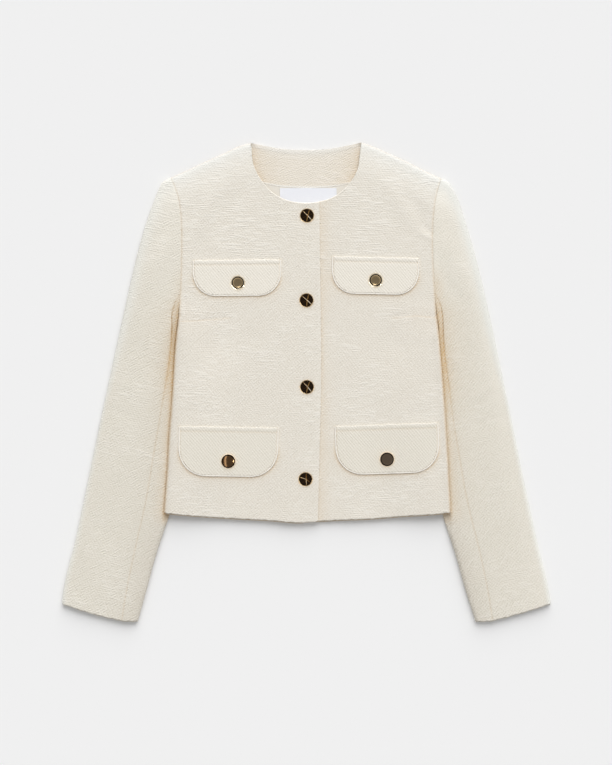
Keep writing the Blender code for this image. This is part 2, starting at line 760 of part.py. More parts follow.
def make_button(name, x, y, diameter, surface, collection, finish):
    """Domed shank button, turned from its half section."""
    radius = diameter / 2
    reach = SEAT_REACH * radius
    spots = [(x, y)] + [
        (x + reach * math.cos(angle), y + reach * math.sin(angle)) for angle in np.radians(SEAT_ANGLES)
    ]
    seat = max(height_on(surface, *spot) for spot in spots) + GAP
    mesh = bpy.data.meshes.new(name)
    points = [
        (share * radius * MM, 0, height * BUTTON_HEIGHT * MM)
        for share, height in zip(BUTTON_PROFILE["radius"], BUTTON_PROFILE["height"])
    ]
    mesh.from_pydata(points, [(i, i + 1) for i in range(len(points) - 1)], [])
    button = add(name, mesh, collection, finish)
    button.location = (x * MM, y * MM, seat * MM)
    screw = button.modifiers.new("Turned", "SCREW")
    screw.steps = screw.render_steps = BUTTON_STEPS
    screw.use_merge_vertices = True
    screw.merge_threshold = 0.00001
    screw.use_normal_calculate = True
    return button


# Finishes and the whole jacket


def linear(code):
    channels = [int(code[i : i + 2], 16) / 255 for i in (0, 2, 4)]
    return [c / 12.92 if c <= 0.04045 else ((c + 0.055) / 1.055) ** 2.4 for c in channels]


def finish(name, code, roughness, metallic=0.0):
    material = bpy.data.materials.new(name)
    material.use_nodes = True
    shader = material.node_tree.nodes["Principled BSDF"]
    shader.inputs["Base Color"].default_value = (*linear(code), 1)
    shader.inputs["Roughness"].default_value = roughness
    shader.inputs["Metallic"].default_value = metallic
    material.diffuse_color = (*linear(code), 1)
    return material


def collection(name):
    made = bpy.data.collections.new(name)
    bpy.context.scene.collection.children.link(made)
    return made


def clear_scene():
    for obj in list(bpy.data.objects):
        bpy.data.objects.remove(obj, do_unlink=True)


def main():
    clear_scene()
    tweed = finish("cream_tweed", "e6dfd1", 0.9)
    satin = finish("cream_lining", "e9e1d4", 0.45)
    label = finish("white_label", "eff0f4", 0.5)
    cord = finish("ecru_piping", "ece7db", 0.7)
    gold = finish("polished_gold", "c9a66b", 0.18, 1.0)

    body = collection("Body")
    make_back(body, tweed)
    fronts = {side: surface_of(make_front(side, body, tweed)) for side in SIDES}

    sleeves = collection("Sleeves")
    for side in SIDES:
        make_sleeve(side, sleeves, tweed)

    make_neck(collection("Neck"), {"facing": tweed, "lining": satin, "label": label})

    trims = collection("Flaps")
    flap_surfaces = {}
    for row, name in enumerate(FLAP_NAMES):
        flap = {key: float(values[row]) for key, values in FLAPS.items()}
        side = name.split("_")[1]
        made = make_flap(f"flap_{name}", flap, fronts[side], trims, tweed)
        make_piping(f"piping_{name}", flap, fronts[side], trims, cord)
        flap_surfaces[f"button_{name}"] = surface_of(made)

    buttons = collection("Buttons")
    for row, name in enumerate(BUTTON_NAMES):
        surface = flap_surfaces.get(name, fronts["right"])
        x, y, diameter = (float(BUTTONS[key][row]) for key in ("x", "y", "diameter"))
        make_button(name, x, y, diameter, surface, buttons, gold)


main()
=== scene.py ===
import math
from functools import partial

import bpy
import numpy as np
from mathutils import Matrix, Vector
from mathutils.bvhtree import BVHTree


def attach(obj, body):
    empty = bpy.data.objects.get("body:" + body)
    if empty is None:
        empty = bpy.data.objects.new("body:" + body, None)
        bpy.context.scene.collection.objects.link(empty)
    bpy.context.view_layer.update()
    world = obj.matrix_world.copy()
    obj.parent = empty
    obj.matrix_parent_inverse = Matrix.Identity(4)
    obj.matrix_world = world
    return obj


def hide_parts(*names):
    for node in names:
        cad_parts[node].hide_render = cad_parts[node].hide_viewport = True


# Cropped collarless tweed jacket, buttoned and laid flat, face up.
# Sizes and tables are in millimetres and go to metres when a mesh is made; only the floor, the lamps
# and the cut of the sheets are in metres. Right and left are the wearer's, so the right side has x < 0,
# and a table's x grows away from the middle on both sides.

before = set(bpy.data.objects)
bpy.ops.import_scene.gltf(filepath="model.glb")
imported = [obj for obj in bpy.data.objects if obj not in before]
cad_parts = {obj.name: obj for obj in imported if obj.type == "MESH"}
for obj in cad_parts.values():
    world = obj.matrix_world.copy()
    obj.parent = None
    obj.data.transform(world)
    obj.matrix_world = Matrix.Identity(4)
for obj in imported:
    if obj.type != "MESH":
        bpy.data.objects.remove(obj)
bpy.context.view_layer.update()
print("frame loaded:", len(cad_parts), "nodes")

mm = 0.001
signOf = {"right": -1, "left": 1}

cloth = {
    "wall": 2.0,            # lined tweed
    "gap": 0.3,             # between a piece and what it lies on
    "seamGap": 0.1,
    "lay": 7.9,             # front on back
    "edgeRadius": 1.1,      # rounding of hem, neckline and cuff
    "edgeLeast": 0.12,      # share of the wall that is left at the very edge
    "edgeSink": 0.72,       # share of that rounding on the outer face
    "pressed": 3.2,         # the front edge is pressed flat over this much more than the others
    "shoulderHighlight": 0.6,          # painted highlight: the cloth is paler towards the shoulders, as on the outer sleeves
    "shoulderHighlightReach": 16.0,
    "shoulderDrop": 1.9,    # the fronts slope down to the shoulder line
    "shoulderRound": 42.0,
    "uneven": 0.28,         # a hem's edge wanders by this much, in waves of length, share and start
    "waves": ((1.9, 1.0, 0), (3.3, 0.7, 1), (1.3, 0.6, 2)),
    "creased": 0.8,         # share of the creases' depth that the pressed body keeps
    "step": 2.3,            # grid of the pieces that show
    "hiddenStep": 6.0,
    # soft grooves and ridges: height, distance from their edge, width
    "armhole": (-0.3, 0, 1.2),
    "neckRoll": (0.12, 1.6, 1.0),
}
lap = {"rise": 0.9, "sink": 1.4, "end": 24.0, "fade": 72.0}    # right front over left front
under = {
    "arm": 108.5,           # height of the underarm point
    "lay": 4.8,             # the sleeve's thickness where the body lies on it
    "lift": 5.2,            # the body's underside there
    "liftWidth": 90.0,
    "liftStart": 12.0,      # the body starts to rise this much above the underarm
    "liftLength": 60.0,
    "rollEnd": 94.0,        # from here the side fold's roll fades towards the armhole, at this rate
    "rollFade": 0.4,
    "longer": 1.7,          # the layer below reaches this much further at hem and cuffs
}
rollTip = 2.5                # radius at the very edge of a fold
rollAngles = np.radians(np.linspace(0, 90, 8))
edgeSteps = np.array((0, 0.12, 0.4, 0.85, 1.4, 2.1))    # grid lines from a free edge inwards
shoulderSlope = math.radians(24.5)
neckColumn = 72.0            # where a front's yoke meets the part below its neckline


def table(columns, *rows):
    return {name: np.array(values, float) for name, values in zip(columns.split(), zip(*rows))}


# side fold from the hem up to the underarm, then the armhole seam up to the shoulder
bodyEdge = table(
    "y right left",
    (-181.6, 198.4, 202.2), (-120, 193.8, 199.3), (-75, 191.4, 196.8), (-21, 187.0, 193.0),
    (15, 184.8, 190.2), (52, 182.4, 187.0), (83, 179.0, 184.0), (108.5, 176.8, 181.0),
    (139, 175.3, 179.3), (170, 174.7, 178.0), (211, 174.4, 177.4), (239, 175.8, 179.2),
    (262, 180.0, 182.8), (286, 189.0, 189.4),
)
# height of the shoulder line from the neck to the armhole
shoulder = table(
    "x right left",
    (77.5, 335.2, 336.0), (92, 331.2, 331.0), (117, 319.8, 320.0),
    (142, 308.6, 308.6), (165, 297.6, 296.8), (189.2, 286.8, 285.4),
)
neckline = {
    "right": table(
        "x y",
        (77.5, 335.2), (76.4, 320), (73.6, 306), (66.8, 290), (58.6, 278),
        (49.0, 267.8), (36.0, 259.2), (21.0, 253.6), (3.0, 251.4), (-18.8, 252.4),
    ),
    "left": table(
        "x y",
        (77.5, 336.0), (76.0, 320), (73.2, 302), (67.0, 287.7), (55.0, 272.5),
        (40.6, 261.1), (29.0, 256.0), (18.9, 253.6), (4.0, 250.6), (-18.0, 250.2),
    ),
}
backNeck = table(
    "x y",
    (-77.5, 335.2), (-59, 331.6), (-40, 328.0), (-20, 326.1), (0, 325.4),
    (20, 326.1), (40, 328.2), (59, 332.0), (77.5, 336.0),
)
# edge of the right front, which laps over the left one, and the hidden edge of the left front
frontEdge = table(
    "y right left",
    (-194, -16.6, -18.0), (-112, -18.8, -18.0), (0, -21.2, -18.0),
    (58, -21.2, -18.0), (144, -20.2, -18.0), (252.4, -18.8, -18.0),
)
hem = table(
    "x right left",
    (-21, -193.8, -194.6), (-4, -195.4, -194.6), (14, -195.8, -194.0), (49, -192.9, -192.2),
    (92, -190.7, -190.5), (135, -188.0, -186.9), (178, -184.4, -184.1), (203, -181.4, -181.4),
)
# outer fold of the sleeve, its front seam, and its inner fold, which lies under the body
sleeveOuter = table(
    "y right left",
    (284.2, 195.2, 193.6), (280.7, 200.8, 198.4), (269.5, 206.9, 206.4), (258.3, 211.4, 212.2),
    (235.9, 219.6, 219.8), (196.7, 231.7, 231.9), (157.5, 241.4, 242.3), (118.3, 250.4, 251.6),
    (79.1, 259.0, 260.2), (-18.9, 280.3, 280.9), (-116.9, 301.0, 300.9), (-214.9, 321.5, 322.1),
    (-293.3, 339.9, 340.4), (-309.0, 341.8, 343.0),
)
sleeveSeam = table(
    "y right left",
    (112, 182.6, 186.6), (98, 187.2, 190.4), (75, 187.8, 191.8), (50, 189.2, 193.0),
    (20, 192.8, 196.4), (-10, 197.8, 200.6), (-50, 204.4, 205.6), (-100, 213.0, 214.0),
    (-160, 222.8, 224.4), (-240, 240.4, 243.6), (-293, 251.2, 254.6), (-333, 257.6, 261.0),
)
sleeveInner = table(
    "y right left",
    (66, 179.2, 184.3), (54, 176.8, 182.0), (30, 168.0, 173.2), (0, 161.0, 166.4),
    (-40, 158.6, 163.6), (-80, 161.6, 166.0), (-120, 170.4, 173.6), (-160, 183.2, 185.4),
    (-188, 192.0, 192.2), (-238, 208.8, 208.4), (-291, 223.4, 223.4), (-333.4, 235.2, 237.0),
)
sleeve = {
    "seamStart": 124.0,                                  # where the front seam leaves the armhole
    "beside": np.array((108.5, 101, 93, 85, 77)),        # the inner fold lies beside the body here
    "sag": {"right": (2.0, 0.9), "left": (1.2, 0.8)},    # of the cuff, upper and under sleeve
    "valleyWidth": 7.0,
    "valleyStart": 4.5,      # the valley's far side starts under the body's rounded edge
    "filled": (0.6, 66.0, 20.0),    # above this height the fold beside the body is this much fuller
    "valleyLength": 35.0,
    "valleyFoot": -188.0,
    "valleyFade": 45.0,
    "creased": 0.6,          # share of the creases' depth that the sleeve keeps
    "seamGroove": (-0.12, 0, 1.1),    # as in hump
    "openWidth": 2.8,        # of the front seam where it opens beside the body
    "cuffStart": 0.985,      # share of the way down where the cuff's edge begins to wander
}


# Curves and heights

def hermite(knots, values, at):
    slopes = np.gradient(values, knots, axis=0)
    at = np.clip(at, knots[0], knots[-1])
    k = np.clip(np.searchsorted(knots, at, side="right") - 1, 0, len(knots) - 2)
    step = knots[k + 1] - knots[k]
    q = (at - knots[k]) / step
    if values.ndim > 1:
        q, step = q[:, None], step[:, None]
    start = (2 * q**3 - 3 * q**2 + 1) * values[k] + (q**3 - 2 * q**2 + q) * step * slopes[k]
    return start + (3 * q**2 - 2 * q**3) * values[k + 1] + (q**3 - q**2) * step * slopes[k + 1]


def read(rows, name, at, key="y"):
    order = np.argsort(rows[key])
    return hermite(rows[key][order], rows[name][order], np.asarray(at, float))


def along(points, shares):
    points = np.asarray(points, float)
    lengths = np.linalg.norm(np.diff(points, axis=0), axis=1)
    knots = np.concatenate([[0], np.cumsum(lengths)]) / lengths.sum()
    return hermite(knots, points, np.asarray(shares, float))


def plan(x, y):
    return np.stack(np.broadcast_arrays(np.asarray(x, float), np.asarray(y, float)), axis=-1)


def ease(q):
    q = np.clip(q, 0, 1)
    return q * q * (3 - 2 * q)


def ramp(value, start, end):
    # rises from 0 at the start to 1 at the end
    return ease((value - start) / (end - start))


def bell(distance, width):
    return np.exp(-((distance / width) ** 2))


def hump(distance, shape):
    # a soft ridge or trough, from its height, where it stands and its width
    height, at, width = shape
    return height * bell(distance - at, width)


def roll(distance, radius):
    q = 1 - np.clip(distance / radius, 0, 1)
    return np.sqrt(1 - q * q)


def rollRadius(thickness):
    return (thickness / 2) ** 2 / rollTip


rollWidth = rollRadius(cloth["lay"])
rollSteps = rollWidth * (1 - np.cos(rollAngles))


def lift(side, x, y):
    share = ease((x - read(sleeveInner, side, y)) / under["liftWidth"] + 1)
    return under["lift"] * ease((under["arm"] + under["liftStart"] - y) / under["liftLength"]) * share


def edgeRoll(side, x, y):
    fromSide = read(bodyEdge, side, y) + under["rollFade"] * np.maximum(y - under["rollEnd"], 0) - x
    beyondNeck = np.maximum(shoulder["x"][0] - x, 0) * math.tan(shoulderSlope)
    fromShoulder = (read(shoulder, side, x, "x") + beyondNeck - y) * math.cos(shoulderSlope)
    return roll(fromSide, rollWidth) * roll(fromShoulder, rollWidth)


def frontHeight(side, x, y):
    share = 1 - ease((x - lap["end"]) / (lap["fade"] - lap["end"]))
    step = lap["rise"] if side == "right" else -lap["sink"]
    return lift(side, x, y) + cloth["lay"] / 2 + (cloth["lay"] / 2 + step * share) * edgeRoll(side, x, y)


def backHeight(side, x, y):
    return lift(side, x, y) + cloth["lay"] / 2 * (1 - edgeRoll(side, x, y))


def backInside(points):
    x, y = np.abs(points[..., 0]), points[..., 1]
    right, left = backHeight("right", x, y), backHeight("left", x, y)
    return cloth["wall"] + np.where(points[..., 0] < 0, right, left)


def sleeveThickness(side, x, y):
    fromBody = x - read(bodyEdge, side, y) + sleeve["valleyStart"]
    depth = ease((under["arm"] - y) / sleeve["valleyLength"])
    depth = depth * (1 - ease((sleeve["valleyFoot"] - y) / sleeve["valleyFade"]))
    return cloth["lay"] - (cloth["lay"] - under["lay"]) * depth * (1 - ease(fromBody / sleeve["valleyWidth"]))


# Creases: soft troughs (depth < 0) and ridges of the laid cloth, from one end to the other, with a
# bow to the left of the way they run. x and y are the scene's own here.

bodyCreases = table(
    "x0 y0 x1 y1 bow width depth",
    (-116, 286, -150, 204, -4, 13, 0.95),      # shoulder to the outer corner of the chest flap
    (-98, 276, -126, 190, -3, 12, -0.7),
    (-150, 268, -168, 214, 2, 8, -0.5),
    (-140, 111, -88, 105, 3, 9, 0.15),         # fullness under the flap
    (-152, 84, -112, 90, 0, 6, -0.3),          # end of the dart
    (-120, 78, -158, 2, 5, 14, -0.55),
    (-70, 60, -98, -30, -6, 18, 0.45),
    (-176, -40, -120, -48, 2, 9, -0.35),
    (-60, 190, -30, 120, 4, 16, -0.4),
    (104, 286, 152, 210, 5, 13, 0.9),
    (132, 270, 178, 206, 3, 10, -0.8),
    (156, 226, 184, 202, 0, 4.5, -0.55),
    (152, 212, 184, 195, 1, 4, 0.5),
    (84, 106, 138, 101, -3, 9, 0.15),
    (112, 95, 146, 89, 0, 6, -0.3),
    (120, 80, 160, 6, -5, 15, -0.5),
    (66, 64, 92, -34, 6, 18, 0.4),
    (130, -44, 188, -38, -2, 9, -0.35),
    (52, 196, 34, 128, -4, 14, -0.35),
    (-150, -196, -146, -140, 2, 9, -0.5),      # the hem lies in slow waves
    (-96, -198, -101, -150, 0, 8, 0.45),
    (-48, -200, -45, -152, 0, 9, -0.4),
    (34, -200, 30, -150, 0, 8, 0.35),
    (82, -198, 86, -146, 0, 9, -0.45),
    (140, -196, 136, -148, 2, 8, 0.45),
)
sleeveCreases = table(
    "x0 y0 x1 y1 bow width depth",
    (-186, 250, -214, 190, 4, 9, -0.6),        # from the armhole over the upper arm
    (-182, 214, -224, 150, 5, 11, 0.6),
    (-184, 166, -232, 96, 5, 10, -0.55),
    (-194, 96, -206, 20, 1, 7, 0.7),
    (-236, 66, -212, 6, -3, 12, -0.6),         # elbow
    (-270, 6, -226, -26, 4, 9, 0.5),
    (-284, -34, -232, -58, 3, 8, -0.5),
    (-250, -70, -262, -150, -3, 12, 0.4),
    (-300, -190, -268, -232, 3, 10, -0.45),
    (-318, -292, -312, -338, 0, 9, 0.5),       # above the cuff
    (-286, -296, -284, -345, 0, 9, -0.5),
    (-256, -300, -252, -345, 0, 8, 0.35),
    (190, 248, 216, 192, -4, 9, -0.55),
    (186, 212, 226, 146, -5, 11, 0.6),
    (188, 160, 238, 92, -5, 9, -0.6),
    (198, 98, 212, 16, -1, 7, 0.7),
    (240, 58, 218, 2, 3, 12, -0.6),
    (272, -2, 230, -28, -4, 8, 0.55),
    (288, -46, 238, -66, -3, 9, -0.45),
    (254, -84, 268, -160, 3, 12, 0.4),
    (304, -200, 272, -236, -3, 10, -0.4),
    (322, -290, 316, -336, 0, 9, 0.45),
    (292, -298, 288, -345, 0, 9, -0.5),
    (262, -300, 258, -345, 0, 8, 0.4),
)
darts = {
    "lines": (((-176, 85.4), (-133, 87.5), (-106, 90.3)), ((121.8, 90.3), (154, 93.1), (183, 90.3))),
    "width": 0.8,
    "fade": 8.0,
    "depth": -0.22,
    "rows": (0.5, 0.595, 0.0014),
}


def creaseRelief(creases, x, y):
    height = np.zeros_like(x)
    for x0, y0, x1, y1, bow, width, depth in zip(*creases.values()):
        length = math.hypot(x1 - x0, y1 - y0)
        ax, ay = (x1 - x0) / length, (y1 - y0) / length
        share = ((x - x0) * ax + (y - y0) * ay) / length
        inside = np.clip(share, 0, 1)
        aside = (y - y0) * ax - (x - x0) * ay - bow * 4 * inside * (1 - inside)
        taper = np.where((share > 0) & (share < 1), np.sin(np.pi * inside) ** 0.8, 0)
        height += depth * taper * bell(aside, width)
    return height


def lineDistance(points, x, y):
    best = np.full_like(x, np.inf)
    for (x0, y0), (x1, y1) in zip(points, points[1:]):
        dx, dy = x1 - x0, y1 - y0
        t = np.clip(((x - x0) * dx + (y - y0) * dy) / (dx * dx + dy * dy), 0, 1)
        best = np.minimum(best, np.hypot(x - x0 - t * dx, y - y0 - t * dy))
    return best


# Grids and shells

def coons(bottom, top, start, end, across, up):
    u = np.asarray(across)[None, :, None]
    v = np.asarray(up)[:, None, None]
    between = (1 - u) * start[:, None] + u * end[:, None] + (1 - v) * bottom[None] + v * top[None]
    corners = (1 - v) * ((1 - u) * bottom[0] + u * bottom[-1]) + v * ((1 - u) * top[0] + u * top[-1])
    return between - corners


def normalsOf(points, closed=False):
    if closed:
        points = np.concatenate([points[:, -1:], points, points[:, :1]], axis=1)
    face = np.cross(points[1:, 1:] - points[:-1, :-1], points[1:, :-1] - points[:-1, 1:])
    total = np.zeros_like(points)
    for rows in (slice(None, -1), slice(1, None)):
        for cols in (slice(None, -1), slice(1, None)):
            total[rows, cols] += face
    if closed:
        total = total[:, 1:-1]
    return total / np.maximum(np.linalg.norm(total, axis=-1, keepdims=True), 1e-9)


def raised(grid, height):
    return np.concatenate([grid, height[..., None]], axis=-1)


def level(normals):
    flat = normals * (1, 1, 0)
    return flat / np.linalg.norm(flat, axis=-1, keepdims=True)


def edgeShare(distance):
    q = 1 - np.clip(distance / cloth["edgeRadius"], 0, 1)
    return cloth["edgeLeast"] + (1 - cloth["edgeLeast"]) * np.sqrt(1 - q * q)


def wander(at):
    waves = (share * np.sin(at / length + start) for length, share, start in cloth["waves"])
    return cloth["uneven"] * sum(waves)


def twoFaces(points, normals, thickness, share):
    # outer and inner grid of a wall whose thickness shrinks to a share of itself at its free edges
    lost = thickness * (1 - share[..., None])
    outer = points - lost * cloth["edgeSink"] * normals
    return outer, points - (thickness - lost * (1 - cloth["edgeSink"])) * normals


def makeShell(name, outer, inner, finish, **tones):
    rows, cols = outer.shape[:2]
    count = rows * cols
    index = np.arange(count).reshape(rows, cols)
    quads = np.stack([index[:-1, :-1], index[:-1, 1:], index[1:, 1:], index[1:, :-1]], axis=-1)
    quads = quads.reshape(-1, 4)
    rim = np.concatenate([index[0, :-1], index[:-1, -1], index[-1, :0:-1], index[:0:-1, 0]])
    ahead = np.roll(rim, -1)
    rimQuads = np.stack([ahead, rim, rim + count, ahead + count], axis=-1)
    faces = np.concatenate([quads, quads[:, ::-1] + count, rimQuads])
    points = np.concatenate([outer.reshape(-1, 3), inner.reshape(-1, 3)])
    a, b, c, d = (points[faces[:, k]] for k in range(4))
    volume = (np.cross(a, b) * c).sum() + (np.cross(a, c) * d).sum()
    if volume < 0:
        faces = faces[:, ::-1]
    mesh = bpy.data.meshes.new(name)
    mesh.from_pydata((points * mm).tolist(), [], faces.tolist())
    mesh.shade_smooth()
    mesh.set_sharp_from_angle(angle=math.radians(62))
    for tone, values in tones.items():
        attribute = mesh.attributes.new(tone, "FLOAT", "POINT")
        attribute.data.foreach_set("value", np.tile(np.clip(values, 0, 1).reshape(-1), 2).astype(np.float32))
    mesh.materials.append(finish)
    return addPiece(name, mesh)


def addPiece(name, data):
    piece = bpy.data.objects.new(name, data)
    bpy.context.scene.collection.objects.link(piece)
    return piece


def standFor(piece, node):
    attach(piece, "root")
    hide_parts(node)


# Materials

def linear(code):
    channels = [int(code[i:i + 2], 16) / 255 for i in (0, 2, 4)]
    return (*[c / 12.92 if c <= 0.04045 else ((c + 0.055) / 1.055) ** 2.4 for c in channels], 1)


def addNode(tree, kind, settings=None, links=None):
    # a link comes from a socket, or from the first output of a node
    node = tree.nodes.new("ShaderNode" + kind)
    for key, value in (settings or {}).items():
        if isinstance(key, int) or key in node.inputs:
            node.inputs[key].default_value = value
        else:
            setattr(node, key, value)
    for key, source in (links or {}).items():
        socket = source if isinstance(source, bpy.types.NodeSocket) else source.outputs[0]
        tree.links.new(socket, node.inputs[key])
    return node


def newMaterial(name, settings):
    material = bpy.data.materials.new(name)
    material.use_nodes = True
    tree = material.node_tree
    tree.nodes.clear()
    shader = addNode(tree, "BsdfPrincipled", settings)
    addNode(tree, "OutputMaterial", links={"Surface": shader})
    return material, tree, shader


# Wool and cotton tweed in a loose broken twill: matt, with short diagonal ribs in patches, crosswise
# yarns between them, long slubs and a dry, fuzzy grain, paler on the yarns and warmer between them.
# The ribs are about twice as coarse as real ones, which would be lost at this size.
tweed = {
    "yarn": "ebe6dc",
    "between": "ded7ca",
    "crevice": "ca9c48",          # painted warm shade, for light that bounces between cream cloth
    # painted brown shade
    "deep": "6b4a30",
    "rim": "f0f3f2",              # painted highlight, and paler along the free edges
    "cool": "e6e8e4",             # painted cool sheen: the studio's sky caught by the nap at a grazing angle
    "roughness": 0.93,
    "sheen": 0.15,
    "sheenRoughness": 0.45,
    "specular": 0.2,
    "wander": (40.0, 8.0),        # size and reach of the weave's wandering
    # angle, pitch, and the length and width of the pieces a rib is broken into
    "twill": (41.0, 3.3, 5.0, 3.4),
    "rows": (3.0, 2.9, 5.5, 2.8),
    "cross": (-52.0, 3.6, 3.5, 3.5),
    "heights": (0.13, 0.12, 0.065),   # of those three
    "broken": (0.41, 0.66),
    "patch": (24.0, 0.30, 0.50),      # size of the patches, and where twill takes over from rows
    "patchRise": -0.12,               # less twill towards the shoulders
    "slub": (17.0, 1.8),              # length and width of the crosswise slubs
    "slubHeight": 0.16,
    "slubEdge": (0.45, 0.72),
    "slubArea": (60.0, 0.44, 0.64),
    "slubRise": (90.0, 290.0, 0.9),   # slubs grow stronger over this height, up to the shoulders
    "grain": 1.6,
    "grainHeight": 0.32,
    "onYarn": (-0.1, 0.12),           # heights from between the yarns to their tops
    "hollow": (1.3, 0.75),            # the painted warm and brown shade is stronger between the yarns than on them
}
smooth = {"interpolation_type": "SMOOTHSTEP"}


def weaveRelief(add, placed, use):
    # height of the weave in millimetres: broken ribs in patches, slubs across them, and grain
    size, reach = use["wander"]
    drift = add("TexNoise", {"Scale": 1 / size, "Detail": 1.5}, {0: placed}).outputs["Color"]
    moved = {"operation": "MULTIPLY_ADD", 1: (reach, reach, 0)}
    wandered = add("VectorMath", moved, {0: drift, 2: placed})
    ribs = {}
    for kind, height in zip(("twill", "rows", "cross"), use["heights"]):
        angle, pitch, length, width = use[kind]
        turn = math.radians(angle)
        lengthwise = np.array((math.cos(turn), math.sin(turn), 0))
        across = np.array((-math.sin(turn), math.cos(turn), 0))
        phase, down, aside = (
            add("VectorMath", {"operation": "DOT_PRODUCT", 1: tuple(way)}, {0: wandered}).outputs[1]
            for way in (across * 2 * math.pi / pitch, lengthwise / length, across / width)
        )
        wave = add("Math", {"operation": "SINE"}, {0: phase})
        cell = add("CombineXYZ", links={0: down, 1: aside})
        broken = add("TexNoise", {"Scale": 1.0, "Detail": 0.0}, {0: cell})
        low, high = use["broken"]
        amount = add("MapRange", {"From Min": low, "From Max": high, "To Max": height}, {0: broken})
        ribs[kind] = add("Math", {"operation": "MULTIPLY"}, {0: wave, 1: amount})
    low, high, most = use["slubRise"]
    upward = add("SeparateXYZ", links={0: placed}).outputs["Y"]
    upper = add("MapRange", {"From Min": low, "From Max": high, "To Max": most}, {0: upward})
    masks = {}
    for kind, rise in (("patch", use["patchRise"]), ("slubArea", 0.0)):
        size, low, high = use[kind]
        cloud = add("TexNoise", {"Scale": 1 / size, "Detail": 1.0}, {0: placed})
        shifted = add("Math", {"operation": "MULTIPLY_ADD", 1: rise}, {0: upper, 2: cloud})
        masks[kind] = add("MapRange", {**smooth, "From Min": low, "From Max": high}, {0: shifted})
    weave = {0: masks["patch"], 2: ribs["rows"], 3: ribs["twill"]}
    height = add("Mix", {"data_type": "FLOAT"}, weave)
    height = add("Math", {"operation": "ADD"}, {0: height, 1: ribs["cross"]})
    length, width = use["slub"]
    longer = {"operation": "MULTIPLY", 1: (1 / length, 1 / width, 1 / width)}
    stretched = add("VectorMath", longer, {0: wandered})
    slub = add("TexNoise", {"Scale": 1.0, "Detail": 1.0}, {0: stretched})
    low, high = use["slubEdge"]
    levels = {"From Min": low, "From Max": high, "To Max": use["slubHeight"]}
    slubs = add("MapRange", {**smooth, **levels}, {0: slub})
    presence = add("Math", {"operation": "ADD"}, {0: masks["slubArea"], 1: upper})
    height = add("Math", {"operation": "MULTIPLY_ADD"}, {0: slubs, 1: presence, 2: height})
    grain = add("TexNoise", {"Scale": 1 / use["grain"], "Detail": 1.0, "Roughness": 0.6}, {0: placed})
    rough = {"operation": "MULTIPLY_ADD", 1: use["grainHeight"]}
    return add("Math", rough, {0: grain, 2: height})


def makeTweed(name, grainAngle=0.0, **changes):
    use = {**tweed, **changes}
    material, tree, shader = newMaterial(name, {
        "Roughness": use["roughness"], "Sheen Weight": use["sheen"],
        "Sheen Roughness": use["sheenRoughness"], "Specular IOR Level": use["specular"],
    })
    add = partial(addNode, tree)
    place = add("TexCoord").outputs["Object"]
    inMm = {"Scale": (1 / mm, 1 / mm, 1 / mm), "Rotation": (0, 0, math.radians(grainAngle))}
    placed = add("Mapping", inMm, {0: place})
    height = weaveRelief(add, placed, use)
    bump = add("Bump", {"Strength": 1.0, "Distance": mm}, {"Height": height})
    low, high = (use["grainHeight"] / 2 + share for share in use["onYarn"])
    onYarn = add("MapRange", {"From Min": low, "From Max": high}, {0: height})
    yarns = {"data_type": "RGBA", 6: linear(use["between"]), 7: linear(use["yarn"])}
    colour = add("Mix", yarns, {0: onYarn}).outputs[2]
    between, above = use["hollow"]
    hollow = add("MapRange", {"To Min": between, "To Max": above}, {0: onYarn})
    for kind in ("crevice", "deep", "rim", "cool"):
        share = add("Attribute", {"attribute_name": kind}).outputs["Fac"]
        if kind in ("crevice", "deep"):
            share = add("Math", {"operation": "MULTIPLY"}, {0: share, 1: hollow})
        tone = {"data_type": "RGBA", 7: linear(use[kind])}
        colour = add("Mix", tone, {0: share, 6: colour}).outputs[2]
    tree.links.new(colour, shader.inputs["Base Color"])
    tree.links.new(bump.outputs[0], shader.inputs["Normal"])
    return material


def makeSatin(name, code, roughness, threadPitch, threadHeight):
    # fine threads across the piece give a satin its soft, drawn-out gloss; coarser than real to show
    material, tree, shader = newMaterial(name, {"Roughness": roughness, "Sheen Weight": 0.1})
    place = addNode(tree, "TexCoord").outputs["Object"]
    threadLength = 9.0
    scale = tuple(1 / mm / size for size in (threadLength, threadPitch, threadPitch))
    stretched = addNode(tree, "Mapping", {"Scale": scale}, {0: place})
    threads = addNode(tree, "TexNoise", {"Scale": 1.0, "Detail": 2.0}, {0: stretched})
    bump = addNode(tree, "Bump", {"Strength": 1.0, "Distance": threadHeight * mm}, {"Height": threads})
    tones = {"data_type": "RGBA", 6: tuple(c * 0.94 for c in linear(code)), 7: linear(code)}
    tone = addNode(tree, "Mix", tones, {0: threads})
    tree.links.new(tone.outputs[2], shader.inputs["Base Color"])
    tree.links.new(bump.outputs[0], shader.inputs["Normal"])
    return material


def makeMetal(name, code, roughness, metallic=1.0):
    # plated zinc, polished; the gloss changes a little from place to place, as handled metal does
    material, tree, shader = newMaterial(name, {"Base Color": linear(code), "Metallic": metallic})
    place = addNode(tree, "TexCoord").outputs["Object"]
    smudge = addNode(tree, "TexNoise", {"Scale": 350.0, "Detail": 3.0}, {0: place})
    gloss = addNode(tree, "MapRange", {"To Min": roughness * 0.8, "To Max": roughness * 1.3}, {0: smudge})
    tree.links.new(gloss.outputs[0], shader.inputs["Roughness"])
    return material


# the right front has the livelier weave of the two
bodyTweed = {
    side: makeTweed(
        f"creamTweedBody_{side}", heights=(0.13 * flat, 0.12 * flat, 0.065), slubHeight=0.16 * flat,
        grainHeight=0.32 * flat,
    )
    for side, flat in (("right", 1.0), ("left", 0.86))
}
